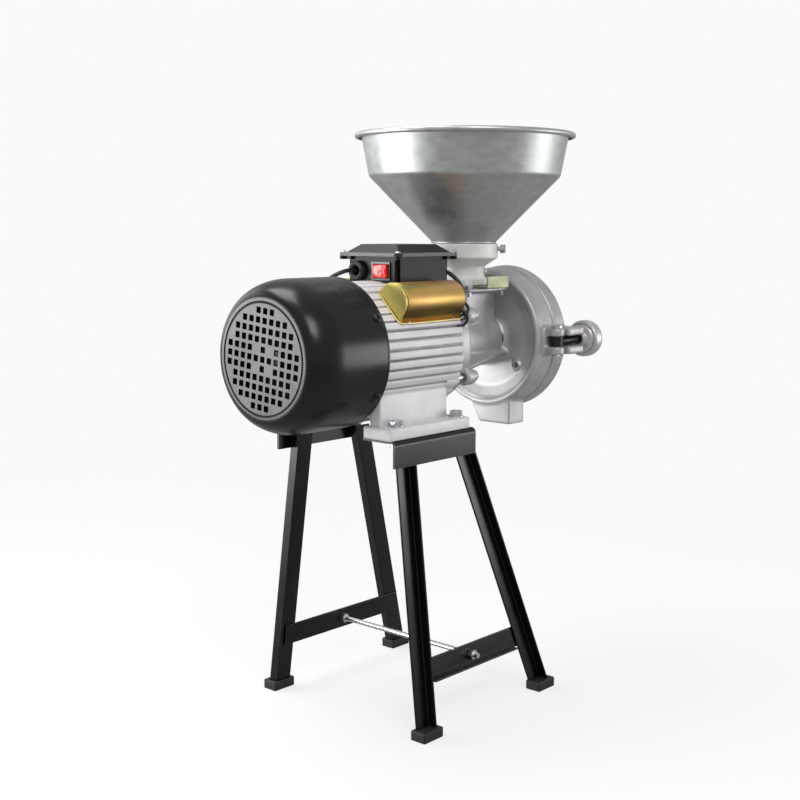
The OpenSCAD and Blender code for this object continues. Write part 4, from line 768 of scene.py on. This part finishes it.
housing_parts = [fins, barrel]
for side in (-1, 1):
    foot_middle = at(FOOT_X, side * FOOT_Y, FOOT_BASE + FOOT_SIZE[2] / 2)
    housing_parts.append(pedestal(side))
    housing_parts.append(soft_box("foot", foot_middle, FOOT_SIZE, 1.6))
for y, z in LUG_PLACES:
    profile = soft_corners(LUG_PROFILE, 1.5, 3)
    housing_parts.append(lathe("lug", profile, at(0, y, z), "X", steps=36, closed=False))
housing = joined("finned_housing", housing_parts)
housing.materials.clear()
set_piece("finned_housing", housing, motor_silver, ["motor_housing"])

# %% [markdown]
# ## Castings
# The mill body, its cover, the feed box and the handwheel are rough castings. A
# voxel skin over the true shapes, relaxed a little, gives them the soft edges
# and slightly blurred roots that sand moulds leave. The motor's front shield and
# the rubber feet are softened in the same way.

# %% Castings
BARREL_PROFILE = [(150, 22.5), (150, 33.4), (264, 33.4), (268, 29.0), (268, 22.5)]
DROP_PROFILE = [(5, 0), (5, 18), (80, 18), (80, 0)]
HOPPER_X = 228.0


def mill_barrel():
    """The barrel round the feed screw, open at the top where the feed drops in."""
    wall = lathe("barrel_wall", soft_corners(BARREL_PROFILE, 3.5, closed=True), AXIS, "X", 72)
    drop = lathe("drop", DROP_PROFILE, at(HOPPER_X, 0, 0), "Z", steps=48, closed=False)
    return cut_away("barrel_wall", wall, [drop])


cast("cast_mill_body", ["mill_body"], cast_aluminium,
     voxel_mm=1.7, rounds=5, extra=[mill_barrel()])
cast("cast_front_cover", ["front_cover"], cast_aluminium,
     voxel_mm=1.6, rounds=5)
cast("cast_feed_box", ["feed_box"], light_casting, voxel_mm=1.1, rounds=4)
cast("cast_front_shield", ["end_shield_front"], motor_silver,
     voxel_mm=1.2, rounds=3)
cast("cast_handwheel", ["fineness_handwheel"], knob_silver,
     voxel_mm=0.9, rounds=4, body="handwheel")
for name in FEET:
    cast("rubber_" + name, [name], rubber, voxel_mm=0.8, rounds=4)

# %% [markdown]
# ## Closing knobs
# The knobs are cast and then turned, so they are clean and show a turned ring
# behind the rim. Each is one profile about its swing bolt, in mm from its back.

# %% Closing knobs
KNOB_BACK = 334.0
KNOB_Y = 95.0
KNOB_PROFILE = [
    (0, 5.2), (0, 9.0), (4.6, 9.4), (6.0, 13.8), (7.0, 16.6), (8.6, 17.4), (7.4, 19.0),
    (8.4, 21.4), (11.0, 22.4), (19.0, 22.4), (22.8, 21.4), (24.0, 15.0), (24.0, 0.0),
    (18.0, 0.0), (18.0, 5.2)]
for side, tag in ((-1, "near"), (1, "far")):
    turned = lathe("knob", soft_corners(KNOB_PROFILE, 1.3, closed=True),
                   at(KNOB_BACK, side * KNOB_Y, 0), "X", 96)
    set_piece("turned_knob_" + tag, turned, knob_silver, ["closing_knob_" + tag],
              "knob_" + tag, crease=60)

# %% [markdown]
# ## Stand
# The stand is pressed from steel strip and sprayed gloss black. The press leaves
# rounded folds and softened edges, which catch thin lines of light. The model's
# own pieces have the right folds, so only their edges are rounded.

# %% Stand
for name in STAND:
    folded(name, enamel, soft_mm=0.9)

# %% [markdown]
# ## Fan cover
# The cover is deep-drawn steel sheet. A real one is drawn to a cup with a wide
# round corner, then its face is pierced with square holes inside a pressed
# groove. The cup is turned here, and the holes are cut with a repeated punch.

# %% Fan cover
COVER_RIM = 7.0
COVER_RADIUS = 82.0
COVER_FACE = -98.0
COVER_FLAT = 62.0
COVER_CROWN = 40.0
CROWN_STEPS = 22
SHEET = 1.6
GROOVE = 59.0
HOLE = 6.6
HOLE_SOFT = 0.5
PUNCH_LONG = 8
PITCH = 10.0
HOLE_TURN = math.radians(-6)
HOLE_ROWS = [1, 3, 4, 4, 5, 5, 5, 4, 4, 3, 1]
# How far the rim's bead lies behind the rim and inside the radius
RIM_BEAD = [(0, 0.5), (0.4, 0), (2.2, 0), (2.8, 0.35), (3.4, 0)]
# How deep the groove is, and how far from its middle
GROOVE_SECTION = [(0, 1.4), (0.5, 0.7), (0.8, 0), (0.5, -0.7), (0, -1.4)]


def quarter(inset):
    """The cover's rounded corner, from its side to its flat face."""
    crown_x = COVER_FACE + COVER_CROWN
    return [(crown_x - (COVER_CROWN - inset) * math.sin(t),
             COVER_FLAT + (COVER_RADIUS - COVER_FLAT - inset) * math.cos(t))
            for t in sweep(0, math.pi / 2, CROWN_STEPS)]


bead = [(COVER_RIM - behind, COVER_RADIUS - inside) for behind, inside in RIM_BEAD]
groove = [(COVER_FACE + deep, GROOVE + away) for deep, away in GROOVE_SECTION]
inner = [(COVER_FACE + SHEET, 0.0)] + quarter(SHEET)[::-1] + [(COVER_RIM, COVER_RADIUS - SHEET)]
cup = lathe("cup", bead + quarter(0) + groove + [(COVER_FACE, 0.0)] + inner, AXIS, "X", 168)


def hole_places():
    """Where the punch strikes: rows across, fewer holes towards the edge, and four
    holes left out round the middle one."""
    middle = len(HOLE_ROWS) // 2
    for row, reach in enumerate(HOLE_ROWS):
        for column in range(-reach, reach + 1):
            if abs(column) == 1 and abs(row - middle) == 1:
                continue
            across, down = column * PITCH, (row - middle) * PITCH
            y = across * math.cos(HOLE_TURN) - down * math.sin(HOLE_TURN)
            z = -(across * math.sin(HOLE_TURN) + down * math.cos(HOLE_TURN))
            yield at(COVER_FACE, y, z)


punch = soft_box("punch", ORIGIN, (PUNCH_LONG, HOLE, HOLE), HOLE_SOFT, segments=1)
punches = repeated("punches", punch, list(hole_places()), enamel, first=(-HOLE_TURN, 0, 0))
cup = cut_away("cup", cup, [punches])
cup.materials.clear()
set_piece("drawn_fan_cover", cup, enamel, ["fan_cover"], crease=30)

# %% [markdown]
# ## Switch box
# The box and its hipped lid are moulded plastic with rounded edges. The rocker
# is one glossy moulding with two shallow hollows and pale marks. It is one
# section drawn across its width, which keeps the hollows smooth.

# %% Switch box, lid and rocker
folded("switch_box", box_plastic, soft_mm=0.9, shortest=2.0)
folded("switch_box_lid", lid_plastic, soft_mm=0.8, shortest=2.0)
BOX_LEVEL = 86.75
ROCKER = (67.5, -13.0, BOX_LEVEL)
ROCKER_HALF = 11.2
ROCKER_HIGH = 15.2
ROCKER_REST = math.radians(7)
ROCKER_END, ROCKER_MIDDLE, ROCKER_HOLLOW = 3.3, 1.7, 1.6
ROCKER_BACK = [(ROCKER_HALF, -1.0), (2.5, -3.0), (-2.5, -3.0), (-ROCKER_HALF, -1.0)]
FACE_STEPS = 8
BAR_SECTION = [(-6.4, 2.05), (-5.4, 1.95), (-5.4, 2.6), (-6.4, 2.7)]
BAR_HALF = 3.0
RING_MIDDLE, RING_OUTER, RING_INNER, RING_SQUASH = 6.0, 3.0, 2.1, 0.75
RING_BACK, RING_FRONT, RING_STEPS = 1.9, 2.55, 28


def rocker_point(w, u, v):
    """w is up, u across the rocker, and v out of the box. Turned about its pin."""
    y = u * math.cos(ROCKER_REST) + v * math.sin(ROCKER_REST)
    x = u * math.sin(ROCKER_REST) - v * math.cos(ROCKER_REST)
    return at(ROCKER[0] + x, ROCKER[1] + y, ROCKER[2] + w)


def rocker_mesh():
    """A face with two shallow hollows that meet in the middle, and a wedge behind."""
    face = []
    for half, start in ((-1, 1), (1, 0)):
        for t in sweep(start, 1 - start, FACE_STEPS):
            out = ROCKER_MIDDLE + (ROCKER_END - ROCKER_MIDDLE) * t - ROCKER_HOLLOW * t * (1 - t)
            face.append((half * t * ROCKER_HALF, out))
    section = face + ROCKER_BACK
    unique = [p for i, p in enumerate(section) if p != section[i - 1]]
    return prism("rocker", unique, rocker_point, -ROCKER_HIGH / 2, ROCKER_HIGH / 2, soft=0.7)


def mark_mesh():
    """A bar and a ring, each lying on its half of the rocker."""
    bar = prism("bar", BAR_SECTION, rocker_point, -BAR_HALF, BAR_HALF)
    ring = bmesh.new()
    loops = []
    for radius, out in ((RING_OUTER, RING_BACK), (RING_OUTER, RING_FRONT),
                        (RING_INNER, RING_FRONT), (RING_INNER, RING_BACK)):
        spots = [(radius * math.sin(t), RING_MIDDLE + radius * RING_SQUASH * math.cos(t), out)
                 for t in turns(RING_STEPS)]
        loops.append([ring.verts.new(rocker_point(*spot)) for spot in spots])
    bridge(ring, loops)
    return joined("marks", [bar, finish_mesh("ring", ring)])


set_piece("moulded_rocker", rocker_mesh(), red_plastic, ["rocker"], "rocker_body")
set_piece("rocker_marks", mark_mesh(), pale_print, [], "rocker_body")

# %% [markdown]
# ## Capacitor covers
# Each cover is folded and welded from plated sheet: a D-shaped end plate with a
# rolled rim, whose pale colour is a painted highlight, a narrow recessed seam
# painted black for the shade in it, a long rounded body, and a base plate that
# stands out along its lower edge, where screws hold it. All but the rolled hem
# are sections drawn along the slanting pad, and the hem is a thin tube.

# %% Capacitor covers
CAN_STATIONS = (37.0, 138.0)
CAN_BASE = 71.5
CAN_RISE = 7.5
CAN_HALF = 20.5
CAN_STEPS = 40
SKIRT, SKIRT_HIGH = 3.5, 1.2
# Along the shaft from the cover's start: the end plate, the seam and the body
PLATE_END, SEAM_FROM, SEAM_TO, CAN_FROM = 3.6, 3.0, 5.4, 4.8
SEAM_INSET, SEAM_BASE, SEAM_SKIRT = 1.5, 0.2, 2.5
BASE_LIP, BASE_T = 6, 1.4
HEM, HEM_AHEAD, HEM_OUT, HEM_HIGH, HEM_DOWN, HEM_SHORT = 0.95, 1.2, 4.9, 1.0, 5, 1.5
HEM_BEND_FROM, HEM_BEND_TO = 0.96, 0.02
SCREW_PROFILE = [(1.2, 0), (1.2, 1.9), (2.4, 1.6), (2.9, 0.7), (2.9, 0)]
SCREW_IN, SCREW_OUT = 14, 4.6


def d_section(half, base, skirt):
    """A D with a round top, whose lower side widens by the skirt at its base."""
    arc = [(half * math.cos(turn), CAN_RISE + half * math.sin(turn))
           for turn in sweep(0, math.pi, CAN_STEPS)]
    return [(half, base)] + arc + [(-half - skirt, base + SKIRT_HIGH), (-half - skirt, base)]


def capacitor_cover(side, tag):
    place = slanted(side, CAN_BASE)
    start, end = CAN_STATIONS
    whole = d_section(CAN_HALF, 0.0, SKIRT)
    narrow = d_section(CAN_HALF - SEAM_INSET, SEAM_BASE, SEAM_SKIRT)
    flat = [(-CAN_HALF - BASE_LIP, 0.0), (-CAN_HALF - BASE_LIP, BASE_T), (CAN_HALF, BASE_T),
            (CAN_HALF, 0.0)]
    plate = prism("plate", whole, place, start, start + PLATE_END, soft=1.6)
    seam = prism("seam", narrow, place, start + SEAM_FROM, start + SEAM_TO)
    can = prism("can", whole, place, start + CAN_FROM, end, soft=1.8)
    base = prism("base", flat, place, start, end, soft=0.5)
    set_piece("capacitor_body_" + tag, joined("capacitor_body", [plate, can, base]), shaded_yellow_zinc,
              ["capacitor_cover_" + tag], crease=50)
    # The recessed seam gets the black rubber colour as painted shade in the groove between end
    # plate and body.
    set_piece("capacitor_seam_" + tag, seam, rubber)
    upper = place(start - HEM_AHEAD, CAN_HALF - HEM_DOWN, HEM_HIGH)
    corner = place(start - HEM_AHEAD, -CAN_HALF - HEM_OUT, HEM_HIGH)
    far_end = place(end - HEM_SHORT, -CAN_HALF - HEM_OUT, HEM_HIGH)
    path = [upper, upper.lerp(corner, HEM_BEND_FROM), corner.lerp(far_end, HEM_BEND_TO), far_end]
    # The hem's pale colour is a painted highlight on its rolled edge.
    set_piece("capacitor_hem_" + tag, tube("hem", path, HEM, roundness=3), hem_zinc_painted_highlight)
    screw = lathe("screw", soft_corners(SCREW_PROFILE, 0.5, 3), ORIGIN, "Z",
                  steps=24, closed=False)
    spots = [place(w, -CAN_HALF - SCREW_OUT, 0.0) for w in (start + SCREW_IN, end - SCREW_IN)]
    lean = side * (math.pi / 2 - PAD_ANGLE)
    screws = repeated("cover_screws", screw, spots, plated_steel, first=(-lean, 0, 0))
    set_piece("capacitor_screws_" + tag, screws, plated_steel)


capacitor_cover(-1, "near")
capacitor_cover(1, "far")

# %% [markdown]
# ## Leads
# A black sheathed lead leaves each side of the box and bends down into that
# side's capacitor cover. Two more short loops stand at the near cover's front.
# All are smooth tubes, and the long ones follow the arcs of the model's leads.

# %% Leads
LEAD, SHORT_LEAD = 2.4, 1.7
ARC_STEPS = 14
STUB = 4.0
CAN_AXIS = (CAN_BASE + CAN_RISE) * math.cos(PAD_ANGLE)
# Where each lead starts and ends, the side that it bows to, and its rise over its chord
LEADS = {
    "near": ((154.5, -27.9, BOX_LEVEL), (CAN_STATIONS[1], -CAN_AXIS, CAN_AXIS), (1, 0, 0), 0.5),
    "far": ((60.5, 21, BOX_LEVEL), (CAN_STATIONS[0], CAN_AXIS, CAN_AXIS), (-1, 0, 0), 0.4),
}
SHORT_LEADS = [
    [(134, -66, 52), (144, -68, 51), (150, -70, 46), (148, -71, 40), (140, -69, 37),
     (134, -64, 35)],
    [(134, -70, 44), (141, -73, 40), (144, -74, 33), (141, -72, 27), (135, -66, 24)],
]


def lead_arc(start, end, bow, share):
    """Points of the arc that the model's lead follows, in the order that it runs."""
    start, end, bow = Vector(start), Vector(end), Vector(bow)
    chord = end - start
    along = chord.normalized()
    outward = (bow - along * bow.dot(along)).normalized()
    rise = share * chord.length
    half = chord.length / 2
    radius = (half * half + rise * rise) / (2 * rise)
    reach = math.asin(min(1.0, half / radius)) + STUB / radius
    middle = (start + end) / 2 + outward * (rise - radius)
    points = []
    for turn in sweep(-reach, reach, ARC_STEPS):
        spot = middle + outward * radius * math.cos(turn) + along * radius * math.sin(turn)
        points.append(at(*spot))
    return points


for tag, route in LEADS.items():
    set_piece(tag + "_lead", tube(tag + "_lead", lead_arc(*route), LEAD), cable_rubber,
              ["capacitor_leads_" + tag])
loops = [tube("loop", [at(*spot) for spot in spots], SHORT_LEAD) for spots in SHORT_LEADS]
set_piece("short_leads", joined("short_leads", loops), cable_rubber)

# %% [markdown]
# ## Hopper
# The hopper is spun and rolled from thin sheet: a straight spigot, a cone, a
# soft fold, a nearly upright wall and a rolled rim. One turned section makes
# all of these. A lapped seam runs up the side away from the camera.

# %% Hopper
SPIGOT_FOOT = 102.4
CONE_FOOT = 118.0
FOLD = 195.0
LIP = 244.0
SPIGOT_R, FOLD_R, TOP_R, RIM_R = 38.0, 114.0, 123.0, 131.0
ROLL, ROLL_FROM, ROLL_TO, ROLL_STEPS = 3.2, 200, -15, 16
THIN = 1.2
BEND, BEND_STEPS = 2.6, 5
SEAM_TURN = math.radians(115)
LAP_HALF, LAP_PROUD, LAP_SUNK = 5.0, 0.55, 0.4
LAP_SPINE = [(CONE_FOOT + 3, SPIGOT_R + 3.6), (FOLD - 3, FOLD_R - 2.9), (FOLD + 3, FOLD_R + 0.6),
             (LIP - 3, TOP_R - 0.5)]


def hopper_profile():
    """The sheet's section, up its outside, round the rolled rim and down its inside."""
    roll_r, roll_z = RIM_R - ROLL, LIP + THIN - ROLL
    outside = soft_corners([
        (SPIGOT_FOOT, SPIGOT_R), (CONE_FOOT - 2.4, SPIGOT_R), (CONE_FOOT - 1.2, SPIGOT_R + 1.0),
        (CONE_FOOT, SPIGOT_R + 0.6), (FOLD, FOLD_R), (LIP, TOP_R), (LIP, roll_r - 0.5),
    ], BEND, BEND_STEPS)
    roll = [(roll_z + ROLL * math.cos(t), roll_r + ROLL * math.sin(t))
            for t in map(math.radians, sweep(ROLL_FROM, ROLL_TO, ROLL_STEPS))]
    inside = soft_corners([
        (LIP + THIN, roll_r - 1.5), (LIP + THIN, TOP_R - 0.8), (FOLD, FOLD_R - THIN),
        (CONE_FOOT, SPIGOT_R - THIN), (SPIGOT_FOOT, SPIGOT_R - THIN)], BEND, BEND_STEPS)
    return outside + roll + inside


def hopper_seam():
    """The lapped edge of the sheet: a thin strip that follows the cone and the wall."""
    shape = bmesh.new()
    section = ((-LAP_HALF, -LAP_SUNK), (-LAP_HALF, LAP_PROUD), (LAP_HALF, LAP_PROUD),
               (LAP_HALF, -LAP_SUNK))
    rows = []
    for z, radius in LAP_SPINE:
        row = []
        for across, out in section:
            turn = SEAM_TURN + across / radius
            row.append(shape.verts.new(at(
                HOPPER_X + (radius + out) * math.cos(turn), (radius + out) * math.sin(turn), z)))
        rows.append(row)
    bridge(shape, rows, closed=False)
    shape.faces.new(rows[0])
    shape.faces.new(rows[-1])
    return finish_mesh("seam", shape)


bowl = lathe("bowl", hopper_profile(), at(HOPPER_X, 0, 0), "Z", 192)
set_piece("spun_hopper", joined("spun_hopper", [bowl, hopper_seam()]), sheet,
          ["hopper"], crease=48)

# %% [markdown]
# ## Gate
# The gate is a plated strip with its end folded up for a finger. The model's
# own piece has that fold, so only its edges are rounded.

# %% Feed gate
folded("feed_gate", olive_zinc, soft_mm=0.7, body="gate", segments=2)

# %% [markdown]
# ## Bolts
# Hexagon heads are forged with a chamfer, so their corners are cut by a cone.
# Each row of bolts is one template on its points.

# %% Bolts
# Sizes of a bolt of radius 1: across its head's flats, its head, its nut, its washer
HEAD_AF, HEAD_H, NUT_H, WASHER_R = 3.25, 1.3, 1.6, 2.1
SHANK_CHAMFER = 0.6
WASHER_SOFT = 0.35
CORNER_STEPS = 4
# Each chamfer's share of the head's height, and how much of the corners it leaves
SEAT_CHAMFER, TOP_CHAMFER = (0.12, 0.93), (0.16, 0.86)


def hexagon(radius, low, high):
    """A chamfered hexagon head or nut for a bolt of this radius, from low to high."""
    corner_r = HEAD_AF * radius / math.sqrt(3)
    height = HEAD_H * radius
    levels = [(low, SEAT_CHAMFER[1]), (low + SEAT_CHAMFER[0] * height, 1.0),
              (high - TOP_CHAMFER[0] * height, 1.0), (high, TOP_CHAMFER[1])]
    shape = bmesh.new()
    rings = []
    for level, grow in levels:
        ring = []
        for turn in turns(6 * CORNER_STEPS):
            off_flat = (turn + math.pi / 6) % (math.pi / 3) - math.pi / 6
            reach = min(corner_r * math.cos(math.pi / 6) / math.cos(off_flat), corner_r * grow)
            spot = Vector((reach * math.cos(turn), reach * math.sin(turn), level))
            ring.append(shape.verts.new(spot * MM))
        rings.append(ring)
    bridge(shape, rings, closed=False)
    shape.faces.new(rings[0])
    shape.faces.new(rings[-1])
    return finish_mesh("hexagon", shape)


def bolt_template(radius, washer_t, shank, nut_at):
    """A bolt that points along +Z from its washer's seat at z = 0, in mm."""
    edge = WASHER_R * radius
    washer = soft_corners([(0, 0), (0, edge), (washer_t, edge), (washer_t, 0)], WASHER_SOFT, 2)
    rod = [(-shank, 0), (-shank, radius - SHANK_CHAMFER), (-shank + SHANK_CHAMFER, radius),
           (washer_t, radius), (washer_t, 0)]
    parts = [lathe("washer", washer, ORIGIN, "Z", steps=36, closed=False),
             lathe("shank", rod, ORIGIN, "Z", steps=24, closed=False),
             hexagon(radius, washer_t, washer_t + HEAD_H * radius)]
    if nut_at:
        parts.append(hexagon(radius, -nut_at - NUT_H * radius, -nut_at))
    return joined("bolt", parts)


def corners(station, reach_x, reach_y, height):
    return [at(station + s * reach_x, t * reach_y, height) for s in (-1, 1) for t in (-1, 1)]


# The model's node, its bolt's radius, washer, shank and nut, its turn, and its places
BOLT_ROWS = [
    ("foot_bolts", (4, 1.6, 24, 16.2), (0, 0, 0), corners(73, 50, 76, -75)),
    ("mill_bolts", (4, 1.6, 45, None), (0, math.pi / 2, 0), [at(171, y, z) for y, z in LUG_PLACES]),
    ("throat_bolts", (3, 0.01, 10, None), (0, 0, 0), corners(HOPPER_X, 31.5, 34, 64)),
]
for name, sizes, turn, places in BOLT_ROWS:
    row = repeated(name, bolt_template(*sizes), places, plated_steel, first=turn)
    set_piece("plated_" + name, row, plated_steel, [name], crease=25)

# %% [markdown]
# ## Floor, light and background
# The picture has a plain white ground. The floor keeps the mill's shadow, so it
# is a real surface, lightened for the camera only, and fades into the white
# with distance. Five soft lamps stand round the mill. The one at the back left
# lights the fan cover's face, the one at the right draws the long glow on its
# side, and the others stand far behind, beside the camera and overhead.

# %% Floor
FLOOR_HALF = 3.0
FLOOR_DIM = "#a0a0a0"
PAPER_WHITE = "#fafafa"
FLOOR_WHITE = "#ececec"
FADE_FROM, FADE_TO, FADE_LEAST = 0.35, 1.5, 0.72


def ground():
    mesh = bpy.data.meshes.new("floor")
    reach = FLOOR_HALF
    ends = [(-reach, -reach, 0), (reach, -reach, 0), (reach, reach, 0), (-reach, reach, 0)]
    mesh.from_pydata(ends, [], [(0, 1, 2, 3)])
    material, tree, shader = start_finish("floor_paper", FLOOR_WHITE, metallic=0.0, roughness=0.9)
    output = tree.nodes["Material Output"]
    rays = add(tree, "ShaderNodeLightPath")
    place = add(tree, "ShaderNodeTexCoord").outputs["Object"]
    away = add(tree, "ShaderNodeVectorMath", {0: place}, operation="LENGTH").outputs["Value"]
    fade = add(tree, "ShaderNodeMapRange", {
        "Value": away, "From Min": FADE_FROM, "From Max": FADE_TO, "To Min": FADE_LEAST,
    }).outputs["Result"]
    white = add(tree, "ShaderNodeEmission", {"Color": linear(PAPER_WHITE), "Strength": 1.0})
    seen = add(tree, "ShaderNodeMixShader", {
        0: fade, 1: shader.outputs["BSDF"], 2: white.outputs["Emission"]})
    dim = add(tree, "ShaderNodeBsdfDiffuse", {"Color": linear(FLOOR_DIM)})
    mixed = add(tree, "ShaderNodeMixShader", {
        0: rays.outputs["Is Camera Ray"], 1: dim.outputs["BSDF"], 2: seen.outputs["Shader"]})
    tree.links.new(mixed.outputs["Shader"], output.inputs["Surface"])
    mesh.materials.append(material)
    linked("floor", mesh)


ground()

# %% Background and lamps
ROOM_STRENGTH = 0.55
MIDDLE = (0.0, 0.0, 0.38)
MOTOR = (-0.2, 0.0, 0.40)


def background():
    world = bpy.data.worlds.new("studio")
    world.use_nodes = True
    tree = world.node_tree
    tree.nodes.clear()
    rays = add(tree, "ShaderNodeLightPath")
    shown = add(tree, "ShaderNodeMath", {
        0: rays.outputs["Is Camera Ray"], 1: rays.outputs["Is Transmission Ray"],
    }, operation="MAXIMUM")
    room = add(tree, "ShaderNodeBackground", {
        "Color": linear("#ffffff"), "Strength": ROOM_STRENGTH})
    white = add(tree, "ShaderNodeBackground", {"Color": linear(PAPER_WHITE), "Strength": 1.0})
    mixed = add(tree, "ShaderNodeMixShader", {
        0: shown.outputs[0], 1: room.outputs["Background"], 2: white.outputs["Background"]})
    add(tree, "ShaderNodeOutputWorld", {"Surface": mixed.outputs["Shader"]})
    bpy.context.scene.world = world


def softbox(name, place, aim, width, height, power):
    """A soft lamp that faces aim. Places and sizes are in metres, and power in watts."""
    lamp = bpy.data.lights.new(name, "AREA")
    lamp.shape = "RECTANGLE"
    lamp.size = width
    lamp.size_y = height
    lamp.energy = power
    made = linked(name, lamp)
    made.location = place
    made.rotation_euler = (Vector(place) - Vector(aim)).to_track_quat("Z", "Y").to_euler()


background()
softbox("left_softbox", (-1.55, 1.40, 0.34), MOTOR, 1.2, 0.9, 33)
softbox("back_softbox", (-0.5, 2.1, 1.1), (-0.2, 0.0, 0.42), 1.9, 1.5, 12)
softbox("right_softbox", (1.50, -1.45, 0.36), (0.0, 0.0, 0.40), 0.9, 0.9, 11)
softbox("key_softbox", (-0.9, -1.5, 2.0), MIDDLE, 0.9, 0.9, 20)
softbox("top_softbox", (-0.45, 0.60, 2.1), MIDDLE, 1.1, 1.1, 24)
print("lamps", len(bpy.data.lights))
